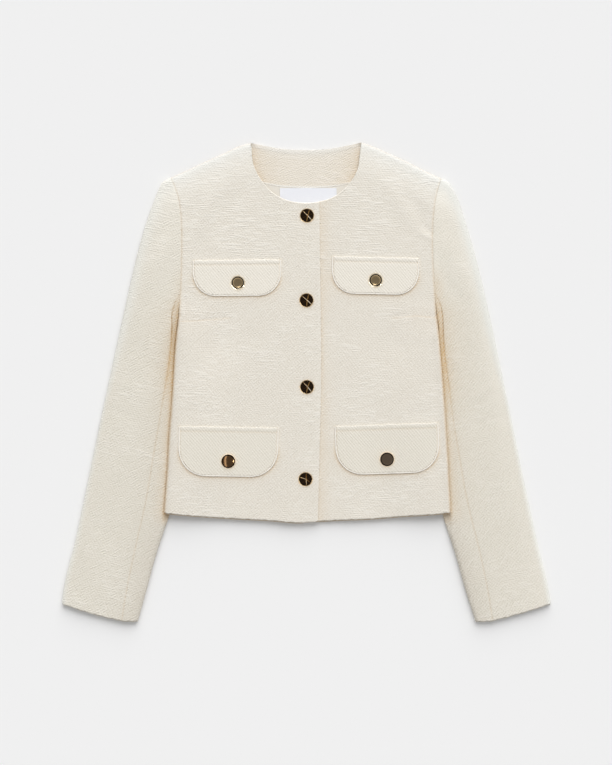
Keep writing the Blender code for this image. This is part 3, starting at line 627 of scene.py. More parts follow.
# the weave runs along the sleeve, which hangs at an angle
sleeveTweed = {
    side: makeTweed(
        # a shade darker than the body's tweed: painted shade; its pale tone is the sleeves' painted highlight
        f"creamTweedSleeve_{side}", -signOf[side] * 13.0, yarn="e8e3d8", between="dad4c6", rim="f4efe4",
        slubHeight=slubs, twill=(41.0, 3.4, 6.0, 3.6), heights=(0.17, 0.12, 0.065),
    )
    for side, slubs in (("right", 0.16), ("left", 0.1))
}
facingTweed = makeTweed(
    "creamTweedFacing", 8.0, yarn="ece5da", between="e0d8c9", grainHeight=0.26, slubHeight=0.07,
    twill=(36.0, 3.0, 6.0, 3.6), cross=(-52.0, 3.2, 3.5, 3.5), heights=(0.15, 0.12, 0.05),
    patch=(24.0, 0.2, 0.4),
)
# the flaps are cut the other way of the cloth, so their ribs run straight and unbroken
flapTweed = {
    kind: makeTweed(
        f"creamTweedFlap_{kind}", yarn=yarn, between=between, slubHeight=0.02, grainHeight=0.28,
        twill=(-50.0, 3.25, 8.0, 4.0), rows=(-50.0, 3.25, 8.0, 4.0), cross=(41.0, 3.6, 3.5, 3.5),
        heights=(0.095, 0.095, 0.05), broken=(0.22, 0.62), wander=(50.0, 5.0),
    )
    # the chest flaps' tweed is a paler copy of the waist flaps': painted light
    for kind, yarn, between in (("chest", "f0ebe1", "e5dfd2"), ("waist", "ebe6db", "dfd9cb"))
}
pipingCotton = makeSatin("offWhitePipingCotton", "f5f0e7", 0.6, 0.9, 0.12)
liningSatin = makeSatin("creamLiningSatin", "eae4d9", 0.42, 0.5, 0.05)
labelSatin = makeSatin("whiteLabelSatin", "f0f1f6", 0.5, 0.45, 0.05)
goldPlate = makeMetal("paleGoldPlate", "f8e8cc", 0.16)
satinGold = makeMetal("satinPaleGold", "f6e2c6", 0.4, 0.35)    # lacquered matt, so the rim glows evenly
warmGold = makeMetal("warmGoldPlate", "d6bb90", 0.3)
dullGold = makeMetal("dullGoldPlate", "a88450", 0.25)
smokedMirror = makeMetal("smokedBronzeMirror", "554232", 0.1)
bronzeMirror = makeMetal("antiqueBronzeMirror", "f6d8a8", 0.16)
# the two waist buttons are alike; their faces' brown and grey tints are painted reflection
brownMirror = makeMetal("brownBronzeMirror", "a8825c", 0.09)
greyMirror = makeMetal("greyBronzeMirror", "bba48c", 0.14)
darkGroove = makeMetal("blackenedGroove", "231a14", 0.3)
print("materials made")


# Outlines of the flaps

flap = {
    "wall": 1.4,
    "ridge": (0.22, 3.6, 6.4),     # the folded top stands higher, to here and fading to there
    "ditch": {"chest": (-0.16, 6.6, 1.6), "waist": (-0.06, 6.6, 1.6)},    # the stitched line below it
    "ditchShade": (0.1, 6.6, 1.3),
    "paintedFoldLine": (1.0, 0.6, 1.5),    # painted highlight and a little painted shade along the fold
    "sideShade": (0.12, 0, 1.2),
    "folded": 0.5,           # share of the wall by which the fold is rounded
    "rounding": (0.7, 0.8),  # depth of the other edges' rounding, and how fast it ends
    "uneven": (0.9, 0.6, 2.5),     # of the fold: share and rate of the cloth's waves, and reach
    "tuck": 0.15,            # of the flap's edge under the piping
    "topSteps": (0, 0.3, 0.8, 1.5, 2.5, 3.4, 4.2, 5, 6, 7),
    "power": 2.2,            # roundness of the lower corners
    "piping": 2.0,           # diameter
    "rest": 0.1,             # above the front
    "sunk": 0.6,             # the cord presses into the front
    "step": 1.2,
}
flapNames = ("chest_right", "chest_left", "waist_right", "waist_left")
flapRows = [
    dict(zip("x y width height cornerX cornerY tilt".split(), values)) for values in (
        (-96.6, 171.2, 124.0, 50.5, 34, 36, 0.4), (97.6, 175.0, 122.5, 52.0, 34, 36, -1.2),
        (-107.8, -62.2, 139.5, 69.5, 41, 42, -1.0), (112.2, -58.8, 145.0, 69.0, 41, 42, 2.0),
    )
]


def turned(points, row):
    angle = math.radians(row["tilt"])
    turn = np.array([[math.cos(angle), math.sin(angle)], [-math.sin(angle), math.cos(angle)]])
    return points @ turn + (row["x"], row["y"])


def halfWidth(row, down, margin):
    straight = row["height"] - row["cornerY"]
    q = np.clip((down - straight) / (row["cornerY"] - margin), 0, 1)
    corner = row["cornerX"] - margin
    return row["width"] / 2 - margin - corner * (1 - (1 - q**flap["power"]) ** (1 / flap["power"]))


def flapOutline(row, margin):
    straight = row["height"] - row["cornerY"]
    arc = straight + (row["cornerY"] - margin) * np.sin(np.linspace(0, np.pi / 2, 33))
    down = np.concatenate([np.linspace(0.5, straight, 9)[:-1], arc])
    half = plan(halfWidth(row, down, margin), -down)
    bottom = plan(np.linspace(half[-1, 0], -half[-1, 0], 24)[1:-1], half[-1, 1])
    return turned(np.concatenate([half, bottom, (half * (-1, 1))[::-1]]), row)


def surfaceOf(piece):
    mesh = piece.data
    return BVHTree.FromPolygons([v.co for v in mesh.vertices], [p.vertices for p in mesh.polygons])


def heightOn(surface, x, y):
    hit = surface.ray_cast(Vector((x * mm, y * mm, 1)), Vector((0, 0, -1)))[0]
    return hit.z / mm


# Body

def spread(length, step, start=(0,), end=(0,)):
    # distances along a length, close together at its ends
    start, end = np.asarray(start, float), length - np.asarray(end, float)[::-1]
    count = max(int(round((end[0] - start[-1]) / step)), 1)
    return np.concatenate([start, np.linspace(start[-1], end[0], count + 1)[1:-1], end]) / length


def panelRows(step):
    # shares of the way from hem to shoulder, closer together where the darts are
    length = shoulder["right"][-1] - bodyEdge["y"][0]
    rows = spread(length, step, edgeSteps, rollSteps / math.cos(shoulderSlope))
    if step > cloth["step"]:
        return rows
    low, high, fine = darts["rows"]
    return np.sort(np.concatenate([rows[(rows < low) | (rows > high)], np.arange(low, high, fine)]))


def yokePlan(side, step):
    rows = panelRows(step)
    neckX, neckY = shoulder["x"][0], shoulder[side][0]
    endX = shoulder["x"][-1]
    corner = bodyEdge[side][0]
    columns = spread(corner - neckColumn, step, rollSteps)
    bottomX = corner + columns * (neckColumn - corner)
    topX = endX + columns * (neckX - endX)
    hemY = read(hem, side, corner, "x")
    y = hemY + rows * (shoulder[side][-1] - hemY)
    start = plan(read(bodyEdge, side, y), y)
    start[-1, 0] = endX
    footY = read(hem, side, neckColumn, "x")
    end = plan(neckColumn + rows * (neckX - neckColumn), footY + rows * (neckY - footY))
    bottom = plan(bottomX, read(hem, side, bottomX, "x"))
    top = plan(topX, read(shoulder, side, topX, "x"))
    return coons(bottom, top, start, end, columns, rows)


def chestPlan(side, step):
    rows = panelRows(step)
    columns = spread(neckColumn + 20, step, (0,), edgeSteps)
    start = yokePlan(side, step)[:, -1]
    top = along(plan(neckline[side]["x"], neckline[side]["y"]), columns)
    edgeX = frontEdge[side][0]
    footY = read(hem, side, edgeX, "x")
    y = footY + rows * (top[-1, 1] - footY)
    end = plan(read(frontEdge, side, y), y)
    bottomX = neckColumn + columns * (end[0, 0] - neckColumn)
    bottom = plan(bottomX, read(hem, side, bottomX, "x"))
    top[-1] = end[-1]
    return coons(bottom, top, start, end, columns, rows)


def farFrom(grid, edge):
    return np.linalg.norm(grid - edge, axis=-1)


def freeDistance(grid, topFree, endFree):
    # distance to the nearest free edge: the hem, the columns in topFree at the top, and the last column
    distance = farFrom(grid, grid[:1])
    distance[:, topFree] = np.minimum(distance, farFrom(grid, grid[-1:]))[:, topFree]
    if endFree:
        distance = np.minimum(distance, farFrom(grid, grid[:, -1:]) / cloth["pressed"])
    return distance


def seamWalls(points, upward, shoulders, sides, share):
    # the two faces of a panel whose side and shoulder seams run along the middle of a fold
    normals = normalsOf(points)
    if (normals[..., 2].mean() > 0) != upward:
        normals = -normals
    for edge in sides:
        below = points[:, edge, 1] < under["arm"] + 0.1
        normals[below, edge] = level(normals[below, edge])
    for top in shoulders:
        normals[-1, top] = level(normals[-1, top])
    return twoFaces(points, normals, cloth["wall"], share)


# painted warm and brown shade on the body's cloth, as strengths and the widths over which they fade
bodyTones = {
    "fold": 0.4, "armhole": 0.2, "seamWidth": 2.0,         # side fold and armhole seam
    "lapWide": (0.11, 0.07, 13.0),     # on the left front beside the right one's edge; less at mid height
    "lapClose": (0.02, 0.1, 4.0),      # the same close to that edge; more at mid height
    "flap": ((0.07, 1.4), (0.2, 1.0), (0.06, 9.0)),    # beside a flap, more of it and a glow below it
    "shoulder": (0.2, 1.6),            # painted brown shade at the very shoulder line
    # the others as in hump: painted brown shade where the cloth climbs on the sleeves and beside the fold,
    # pale along neckline and hem, painted shade of the dart and of what lies below the hem and the back's
    # neck
    "climb": (0.08, -18, 19.0),
    "side": (0.06, 2, 7.0),
    "neckRim": (0.12, 0, 1.3),
    "dart": (0.13, 0, 1.0),
    "below": (0.3, 0, 4.0),
}


def bodyShade(side, x, y):
    # painted warm shade deep in the seams, beside the lapping front and around the flaps, where light bounces
    # between cream cloth
    fromSide = read(bodyEdge, side, y) - x
    below = ramp(y, under["arm"] + 10, under["arm"] - 20)
    seam = bodyTones["fold"] * below + bodyTones["armhole"] * (1 - below)
    shade = seam * bell(fromSide, bodyTones["seamWidth"])
    if side == "left":
        fromFront = np.maximum(x + read(frontEdge, "right", y), 0)
        middle = ramp(y, -40, 20) * ramp(y, 130, 80)
        strength, change, width = bodyTones["lapWide"]
        shade += (strength - change * middle) * bell(fromFront, width)
        strength, change, width = bodyTones["lapClose"]
        shade += (strength + change * middle) * bell(fromFront, width)
    for row in flapRows:
        away = lineDistance(flapOutline(row, flap["piping"] / 2), signOf[side] * x, y) - flap["piping"] / 2
        away = np.maximum(away, 0)
        lower = ease((row["y"] - 0.3 * row["height"] - y) / (0.35 * row["height"]))
        (strength, width), (more, wider), (glow, reach) = bodyTones["flap"]
        shade += (strength + more * lower) * bell(away, width + wider * lower)
        shade += glow * lower * bell(away, reach)
    return shade


def makeFront(side):
    yoke = yokePlan(side, cloth["step"])
    grid = np.concatenate([yoke, chestPlan(side, cloth["step"])[:, 1:]], axis=1)
    x, y = grid[..., 0], grid[..., 1]
    sceneX = signOf[side] * x
    rolled = edgeRoll(side, x, y)
    z = frontHeight(side, x, y) + cloth["gap"] / 2 * (1 - rolled)
    z += cloth["creased"] * creaseRelief(bodyCreases, sceneX, y) * rolled
    fromShoulder = (read(shoulder, side, x, "x") - y) * math.cos(shoulderSlope)
    z -= cloth["shoulderDrop"] * (1 - ease(fromShoulder / cloth["shoulderRound"])) * rolled
    shade = bodyShade(side, x, y)
    for line in darts["lines"]:
        ends, heights = zip(*line)
        above = y - np.interp(sceneX, ends, heights)
        start, end = (ramp(sceneX, x0 - 4 * way, x0 + 4 * way) for x0, way in ((ends[0], 1), (ends[-1], -1)))
        width = np.where(above < 0, darts["width"], darts["fade"])
        z += darts["depth"] * bell(above, width) * start * end * rolled
        shade += hump(above, bodyTones["dart"]) * start * end
    fromArmhole = read(bodyEdge, side, y) - x
    z += hump(fromArmhole, cloth["armhole"]) * ramp(y, under["arm"], under["arm"] + 12)
    topFree = np.arange(yoke.shape[1] - 1, grid.shape[1])
    fromNeck = np.where(np.arange(grid.shape[1]) < topFree[0], np.inf, farFrom(grid, grid[-1:]))
    z += hump(fromNeck, cloth["neckRoll"])
    fromHem = farFrom(grid, grid[:1])
    points = np.stack([sceneX, y + wander(sceneX) * bell(fromHem, 3.0), z], axis=-1)
    share = edgeShare(freeDistance(grid, topFree, side == "right"))
    outer, inner = seamWalls(points, True, [slice(0, yoke.shape[1])], [0], share)
    inside = np.maximum(fromShoulder, 0)
    strength, width = bodyTones["shoulder"]
    shoulderEdge = bell(inside, width) * (fromShoulder > -1)
    # pale along the neckline and hem, and a painted highlight towards the shoulders
    rim = hump(np.minimum(fromNeck, fromHem + 0.4), bodyTones["neckRim"])
    rim += cloth["shoulderHighlight"] * np.exp(-inside / cloth["shoulderHighlightReach"]) * (1 - 0.8 * shoulderEdge)
    # painted brown shade at the shoulder line, where the cloth climbs on the sleeves and beside the fold
    deep = strength * shoulderEdge + hump(y - under["arm"], bodyTones["climb"]) * ramp(x, 90, 160)
    deep += hump(fromArmhole, bodyTones["side"]) * ramp(y, under["arm"] - 5, under["arm"] - 35)
    return makeShell(f"front_{side}_cloth", outer, inner, bodyTweed[side], crevice=shade, rim=rim, deep=deep)


def makeBack():
    step = cloth["hiddenStep"]
    halves = {side: yokePlan(side, step) * (signOf[side], 1) for side in signOf}
    columns = np.linspace(0, 1, 29)
    start, end = halves["right"][:, -1], halves["left"][:, -1]
    top = along(plan(backNeck["x"], backNeck["y"]), columns)
    top[0], top[-1] = start[-1], end[-1]
    bottomX = start[0, 0] + columns * (end[0, 0] - start[0, 0])
    bottomY = np.where(bottomX < 0, read(hem, "right", -bottomX, "x"), read(hem, "left", bottomX, "x"))
    middle = coons(plan(bottomX, bottomY), top, start, end, columns, panelRows(step))
    grid = np.concatenate([halves["right"], middle[:, 1:-1], halves["left"][:, ::-1]], axis=1)
    x, y = np.abs(grid[..., 0]), grid[..., 1]
    z, rolled = (
        np.where(grid[..., 0] < 0, heights("right", x, y), heights("left", x, y))
        for heights in (backHeight, edgeRoll)
    )
    fromHem, fromTop = farFrom(grid, grid[:1]), farFrom(grid, grid[-1:])
    longer = under["longer"] * bell(fromHem, 6.0)
    points = np.stack([grid[..., 0], y - longer, z - cloth["gap"] / 2 * (1 - rolled)], axis=-1)
    yoke = halves["right"].shape[1]
    topFree = np.arange(yoke - 1, grid.shape[1] - yoke + 1)
    share = edgeShare(freeDistance(grid, topFree, False))
    outer, inner = seamWalls(points, False, [slice(0, yoke), slice(-yoke, None)], [0, -1], share)
    # painted warm shade in the side fold and on what lies below the front's hem, painted brown shade along
    # its neck
    below = ramp(y, under["arm"] + 10, under["arm"] - 20)
    fromSide = read(bodyEdge, "right", y) - x
    shade = bodyTones["fold"] * bell(fromSide, bodyTones["seamWidth"]) * below
    shade += hump(fromHem, bodyTones["below"])
    deep = hump(fromTop, bodyTones["below"])
    return makeShell("back_cloth", outer, inner, bodyTweed["right"], crevice=shade, deep=deep)


fronts = {side: makeFront(side) for side in signOf}
back = makeBack()
print("body made")


# Sleeves

def sleevePaths(side):
    endX, endY = shoulder["x"][-1], shoulder[side][-1]
    gap = cloth["seamGap"]
    seamStart = (read(bodyEdge, side, sleeve["seamStart"]) + gap, sleeve["seamStart"])
    beside = plan(read(bodyEdge, side, sleeve["beside"]) + gap, sleeve["beside"])
    outer, seam, inner = (plan(rows[side], rows["y"]) for rows in (sleeveOuter, sleeveSeam, sleeveInner))
    outer = np.concatenate([[(endX + gap, endY)], outer])
    seam = np.concatenate([[seamStart], seam])
    return outer, seam, np.concatenate([beside, inner])


def sleeveRing(side, share, sharesUpper, sharesUnder):
    outer, seam, inner = (along(path, [share])[0] for path in sleevePaths(side))
    upper = outer + sharesUpper[:, None] * (seam - outer)
    lower = seam + sharesUnder[:, None] * (inner - seam)
    for part, shares, sag in zip((upper, lower), (sharesUpper, sharesUnder), sleeve["sag"][side]):
        part[:, 1] -= sag * 4 * shares * (1 - shares) * share**4
    # the first rings follow the armhole, which is hollow
    top, end = shoulder[side][-1], shoulder["x"][-1]
    straight = end + sharesUpper * (read(bodyEdge, side, sleeve["seamStart"]) - end)
    hollow = read(bodyEdge, side, top + sharesUpper * (sleeve["seamStart"] - top)) - straight
    upper[:, 0] += hollow * (1 - share) ** 6
    return upper, lower


def acrossPath(path, share):
    ahead, behind = along(path, [min(share + 0.01, 1), max(share - 0.01, 0)])
    down = (ahead - behind) / np.linalg.norm(ahead - behind)
    return np.array((-down[1], down[0]))


sleeveGrid = {
    "length": 640,
    "rings": spread(640, cloth["step"], (0, 0.8, 1.8), edgeSteps),
    "upper": np.linspace(0, 1, 39),
    "under": np.linspace(0, 1, 20)[:-1],
    "undersideStep": 3,      # the hidden underside repeats every third column
    "elbow": 8,              # columns from the outer fold to the elbow seam, underneath
}


def sleeveSection(side, share):
    (outer, seam), (_, inner) = sleeveRing(side, share, np.array((0.0, 1.0)), np.array((0.0, 1.0)))
    upperLength = np.linalg.norm(seam - outer)
    underLength = np.linalg.norm(inner - seam)
    outerPath, seamPath, _ = sleevePaths(side)
    square = abs(acrossPath(outerPath, share) @ (seam - outer)) / upperLength
    innerThickness = float(sleeveThickness(side, inner[0], inner[1]))
    innerRoll = rollRadius(innerThickness)

    steps = rollSteps / square / upperLength
    sharesUpper = np.concatenate([steps[:-1], steps[-1] + sleeveGrid["upper"] * (1 - steps[-1])])
    steps = innerRoll * (1 - np.cos(rollAngles)) / underLength
    sharesUnder = np.concatenate([(1 - steps[-1]) * sleeveGrid["under"], 1 - steps[::-1]])

    upper, lower = sleeveRing(side, share, sharesUpper, sharesUnder)
    parted = cloth["seamGap"] / 2 * acrossPath(seamPath, share)
    upper[-1] += parted
    lower[0] -= parted
    ring = np.concatenate([upper, lower])
    outerRise = roll(sharesUpper * upperLength * square, rollWidth)
    rise = np.concatenate([outerRise, roll((1 - sharesUnder) * underLength, innerRoll)])
    middle = np.repeat((cloth["lay"] / 2, innerThickness / 2), (len(upper), len(lower)))
    fuller, height, over = sleeve["filled"]
    full = fuller * ease((ring[:, 1] - height) / over) * (np.arange(len(ring)) >= len(upper))
    top = middle + (sleeveThickness(side, ring[:, 0], ring[:, 1]) - middle) * (rise + (1 - rise) * full)
    sceneX = signOf[side] * ring[:, 0]
    fromSeam = np.concatenate([(1 - sharesUpper) * upperLength, sharesUnder * underLength])
    fold = ramp(ring[:, 1], 122, 82) * ramp(ring[:, 1], -45, 60)
    top += sleeve["creased"] * creaseRelief(sleeveCreases, sceneX, ring[:, 1]) * rise
    fromArmhole = share * sleeveGrid["length"]
    opened = shading[side]["groove"] * fold * bell(fromSeam, sleeve["openWidth"])
    top += (hump(fromSeam, sleeve["seamGroove"]) + hump(fromArmhole, cloth["armhole"]) - opened) * rise
    atCuff = ramp(share, sleeve["cuffStart"], 1)
    face = np.stack([sceneX, ring[:, 1] + wander(sceneX) * atCuff, top], axis=-1)
    longer = under["longer"] * atCuff
    underside = np.stack([face[:, 0], face[:, 1] - longer, middle * (1 - rise)], axis=-1)
    picked = np.arange(len(ring) - 2, 0, -sleeveGrid["undersideStep"])
    toSeam = np.concatenate([sharesUpper * upperLength, upperLength + sharesUnder * underLength])
    tones = sleeveTones(side, ring[:, 0], ring[:, 1], fromSeam, toSeam, upperLength + underLength, fold)
    # painted warm shade along the armhole seam
    tones[:, 0] += 0.1 * bell(fromArmhole, 1.3)
    return np.concatenate([face, underside[picked]]), np.concatenate([tones, tones[picked] * 0])


# Painted light and shade on the sleeves: strengths by side, and for both the most warm tone a point may have
shading = {
    "right": {
        "glow": 0.11,             # painted warm light in the valley beside the body, far from it
        "start": 0.1,             # painted warm shade where that valley starts
        "edge": 0.3,              # painted warm shade in a line right beside the body
        "dark": 0.16,             # painted brown shade in the heart of the valley
        "seamPit": 0.14,            # painted brown shade in the front seam's deepest stretch
        "groove": 0.8,            # depth of that seam, in millimetres
        "inner": 0.05,            # painted shade, dimmer towards the inner fold
        "fold": 0.07,             # painted shade, dimmer below the body's hem
        "outer": 0.22,            # painted highlight, paler towards the outer fold, with its reach low and high
        "reach": (8.0, 15.0),
        "top": 0.14,              # painted highlight on the upper arm
        "crown": 0.2,             # painted highlight on the crown
        "rolled": 0.08,           # painted shade where the outer fold turns down
        "turned": 0.0,            # how much more it does so at the crown
        "cool": 0.5,              # painted cool sheen along the outer fold
    },
    "left": {
        "glow": 0.12, "start": 0.24, "edge": 0.06, "dark": 0.03, "seamPit": 0.2, "groove": 0.7, "inner": 0.03,
        "fold": 0.11, "outer": 0.5, "reach": (30.0, 32.0), "top": 0.2, "crown": 0.45, "rolled": 0.26,
        "turned": 1.0, "cool": 0.75,
    },
    "most": 0.78,
}


# heights along the sleeve between which each painted tone grows to its full strength
stretches = {
    "valley": (132, 92),
    "upperValley": (-60, 30),          # where it grows stronger still
    "foot": (-205, -181),              # none of the valley's tones below the body's hem
    "broadEnd": (20, 60),
    "edge": (100, 60),
    "inner": (150, 30),
    "belowHem": (-178, -194),
    "upward": (-40, 110),              # the painted highlight and sheen reach further across higher up
    "outer": (-200, 100),
    "top": (90, 170),
    "nearShoulder": (213, 263),
    "crown": (244, 270),
    "atCrown": (236, 262),
    "pastCrown": (266, 276),
    "dimmedFold": (20, 120),
    "rolled": (-250, 50),
}
# strength, place and width of its tones, as in hump: away from the body or the front seam, or in height
spots = {
    "close": (0.45, 0, 3.5),
    "broad": (0.3, 0, 12.0),
    "seam": (0.15, 0, 0.9),
    "opened": (0.45, 0, 2.4),
    "besideSeam": (0.2, 0, 6.0),
    "start": (1, 132, 22.0),
    "edge": (1, 0.5, 1.6),
    "pit": (1, 74, 34.0),
    "pitWidth": (1, 1.5, 6.0),
    "narrow": (1, 48, 30.0),
    "narrowWidth": (1, 0.6, 1.8),
    "seamPit": (1, 78, 22.0),
}


def sleeveTones(side, x, y, fromSeam, fromOuter, width, fold):
    # columns: the painted warm and brown shade, the painted pale highlight and the painted cool sheen
    use = shading[side]
    grown = {name: ramp(y, start, end) for name, (start, end) in stretches.items()}
    # painted warm light in the valley beside the body, three widths of it, and along the front seam
    away = np.maximum(x - read(bodyEdge, side, y), 0)
    valley = grown["valley"] * (0.4 + 0.6 * grown["upperValley"]) * grown["foot"]
    broad = hump(away, spots["broad"]) * (1 - 0.5 * grown["broadEnd"])
    warm = valley * (hump(away, spots["close"]) + broad + use["glow"] * bell(away, 30.0))
    warm += hump(fromSeam, spots["seam"])
    warm += fold * (hump(fromSeam, spots["opened"]) + hump(fromSeam, spots["besideSeam"]))
    warm += use["start"] * bell(away, 11.0) * hump(y, spots["start"])
    warm += use["edge"] * hump(away, spots["edge"]) * grown["foot"] * grown["edge"]
    # painted brown shade: the heart of that valley, the inner fold, the hem and the seam's deepest stretch
    pit = hump(y, spots["pit"]) * hump(away, spots["pitWidth"])
    warm = shading["most"] * (1 - np.exp(-(warm + 0.15 * pit) / shading["most"]))
    narrow = hump(away, spots["narrowWidth"]) * hump(y, spots["narrow"])
    deep = use["dark"] * (pit + narrow) + use["inner"] * ramp(fromOuter / width, 0.35, 1) * grown["inner"]
    deep += use["fold"] * bell(width - fromOuter, 19.0) * grown["belowHem"]
    deep += use["seamPit"] * bell(fromSeam, 2.2) * hump(y, spots["seamPit"])
    # painted highlight towards the outer fold, over the upper arm and at the crown
    low, high = use["reach"]
    reach = low + (high - low) * grown["upward"]
    pale = use["outer"] * (0.5 + 0.5 * grown["outer"]) * bell(fromOuter, reach)
    pale += use["top"] * grown["top"] + 0.38 * grown["nearShoulder"] + use["crown"] * grown["crown"]
    # painted shade, dimmer and browner again at the outer fold itself, most at the crown
    crowned = use["turned"] * grown["atCrown"] * (1 - 0.6 * grown["pastCrown"])
    pale *= 1 - 0.8 * bell(fromOuter, 6.0 + 5.0 * crowned) * grown["dimmedFold"]
    deep += use["rolled"] * bell(fromOuter, 7.5) * grown["rolled"] * (1 + 1.8 * crowned)
    # painted cool sheen along the outer fold
    cool = use["cool"] * bell(fromOuter, 5.0 + 13.0 * grown["upward"])
    return np.stack([warm, deep, pale, cool], axis=-1)


def makeSleeve(side):
    sections = [sleeveSection(side, share) for share in sleeveGrid["rings"]]
    grid = np.array([points for points, _ in sections])
    tones = np.array([tone for _, tone in sections])
    seamColumn = len(rollAngles) - 2 + len(sleeveGrid["upper"])
    elbow = grid.shape[1] - 1 - sleeveGrid["elbow"] // sleeveGrid["undersideStep"]
    towardOuter = grid[:, elbow + 1] - grid[:, elbow]
    parted = towardOuter / np.linalg.norm(towardOuter, axis=-1, keepdims=True) * cloth["seamGap"]
    grid = np.insert(grid, elbow + 1, grid[:, elbow] + parted, axis=1)
    tones = np.insert(tones, elbow + 1, 0, axis=1)
    normals = normalsOf(grid, closed=True)
    for first in (seamColumn, elbow):
        shared = normals[:, first] + normals[:, first + 1]
        shared /= np.linalg.norm(shared, axis=-1, keepdims=True)
        normals[:, first] = normals[:, first + 1] = shared
    if (normals * (grid - grid.mean(axis=1, keepdims=True))).sum() < 0:
        normals = -normals
    fromCuff = farFrom(grid, grid[-1:])
    outer, inner = twoFaces(grid, normals, cloth["wall"], edgeShare(fromCuff))
    # the painted highlights, and paler along the cuff's edge
    rim = tones[..., 2] + 0.4 * bell(fromCuff + 0.4, 1.3)
    lower = np.arange(seamColumn + 1, elbow + 1)
    upper = np.concatenate([np.arange(elbow + 1, grid.shape[1]), np.arange(seamColumn + 1)])
    made = {}
    for part, columns in (("upper_sleeve", upper), ("under_sleeve", lower)):
        warm, deep, _, cool = np.moveaxis(tones[:, columns], -1, 0)
        made[part] = makeShell(
            f"{part}_{side}_cloth", outer[:, columns], inner[:, columns], sleeveTweed[side],
            crevice=warm, deep=deep, rim=rim[:, columns], cool=cool,
        )
    return made


sleeves = {side: makeSleeve(side) for side in signOf}
print("sleeves made")


# Inside of the neck

neck = {
    "facingWall": 0.7,
    "facingReach": 3.5,
    "facingRows": (282.0, 335.0),
    "facingMost": 77.3,
    "facingTop": (3.0, 330.0, 10.0),   # how much wider it may be lower down, from which height, growing over
    # ridges, and painted tones, as in hump
    "welt": (0.4, 1.1, 0.9),           # ridge along the facing's foot, and its painted highlight
    "weltHighlight": (1.0, 1.1, 1.2),
    "topRoll": (0.35, 2.8, 2.6),       # where the facing rolls over the neck seam, and its painted highlight
    "topHighlight": (0.35, 0, 9.0),
    "stitches": ((0.03, 3.2, 1.2), (0.03, 6.6, 1.4)),    # painted shade along the seam below and above
    "sideShade": (0.08, 0.05, 8.0),    # painted warm shade beside the fronts, more of it higher up, width
    "sideGlow": (0.12, 0, 28.0),
    "sideLap": 2.0,                    # the fronts hide this much of the facing
    "liningWall": 0.8,
    "liningFoot": 238.0,
    "labelWall": 0.5,
    "labelX": (-36.4, 42.8),
    "labelY": (239.0, 272.2),
    "labelBelly": 0.5,                 # the label bulges between its sewn ends, which are folded under
    "labelFold": (0.25, 3.0),
}
facingFoot = table(
    "x y",
    (-68, 281.4), (-56, 278.0), (-42, 275.1), (-20, 273.0), (0, 272.4), (20, 272.8), (44, 275.0), (58, 277.8),
    (68, 280.6),
)


def laidStrip(name, grid, thickness, below, finish, relief=0.0, **tones):
    base = backInside(grid) + below
    return makeShell(name, raised(grid, base + thickness + relief), raised(grid, base), finish, **tones)


def facingSide(side, rows):
    line = neckline[side]
    order = np.argsort(line["y"][:-3])
    x = np.interp(rows, line["y"][:-3][order], line["x"][:-3][order]) + neck["facingReach"]
    more, height, over = neck["facingTop"]
    return plan(signOf[side] * np.minimum(x, neck["facingMost"] + more * ease((height - rows) / over)), rows)


def makeNeck():
    columns = np.linspace(0, 1, 61)
    up = np.concatenate([np.linspace(0, 0.1, 8), np.linspace(0.1, 1, 22)[1:]])
    rows = neck["facingRows"][0] + up * (neck["facingRows"][-1] - neck["facingRows"][0])
    start, end = facingSide("right", rows), facingSide("left", rows)
    bottomX = start[0, 0] + columns * (end[0, 0] - start[0, 0])
    bottom = plan(bottomX, read(facingFoot, "y", bottomX, "x"))
    topX = start[-1, 0] + columns * (end[-1, 0] - start[-1, 0])
    top = plan(topX, read(backNeck, "y", topX, "x"))
    for edge, column in ((start, 0), (end, -1)):
        edge[0], edge[-1] = bottom[column], top[column]
    grid = coons(bottom, top, start, end, columns, up)
    fromFoot = grid[..., 1] - bottom[None, :, 1]
    fromTop = top[None, :, 1] - grid[..., 1]
    sides = np.minimum(grid[..., 0] - start[:, None, 0], end[:, None, 0] - grid[..., 0])
    sides = np.maximum(sides - neck["sideLap"], 0)
    relief = hump(fromFoot, neck["welt"]) + hump(fromTop, neck["topRoll"])
    # painted warm shade beside the fronts and along the seams, painted highlights on the welt and the top
    # roll
    strength, more, width = neck["sideShade"]
    shade = (strength + more * ramp(grid[..., 1], 290, 330)) * bell(sides, width)
    shade += hump(sides, neck["sideGlow"])
    shade += sum(hump(away, line) for away, line in zip((fromFoot, fromTop), neck["stitches"]))
    facing = laidStrip(
        "back_neck_facing_cloth", grid, neck["facingWall"], cloth["gap"], facingTweed, relief, crevice=shade,
        rim=hump(fromFoot, neck["weltHighlight"]) + hump(fromTop, neck["topHighlight"]),
    )
    foot, head = plan(bottomX, neck["liningFoot"]), bottom - (0, cloth["gap"])
    shares = np.linspace(0, 1, 9)[:, None, None]
    lining = laidStrip(
        "back_lining_satin", foot + shares * (head - foot), neck["liningWall"], cloth["gap"], liningSatin
    )
    x, y = np.linspace(*neck["labelX"], 41), np.linspace(*neck["labelY"], 18)
    grid = plan(x[None, :], y[:, None])
    fromEnd = np.minimum(grid[..., 0] - x[0], x[-1] - grid[..., 0])
    belly = neck["labelBelly"] * np.sin(np.pi * (grid[..., 0] - x[0]) / (x[-1] - x[0])) ** 2
    height, reach = neck["labelFold"]
    folded = height * ramp(fromEnd, reach, 0)
    label = laidStrip(
        "neck_label_satin", grid, neck["labelWall"], 2 * cloth["gap"] + neck["liningWall"], labelSatin,
        belly + folded,
    )
    return facing, lining, label


facing, lining, label = makeNeck()
print("neck made")


# Flaps, piping and buttons

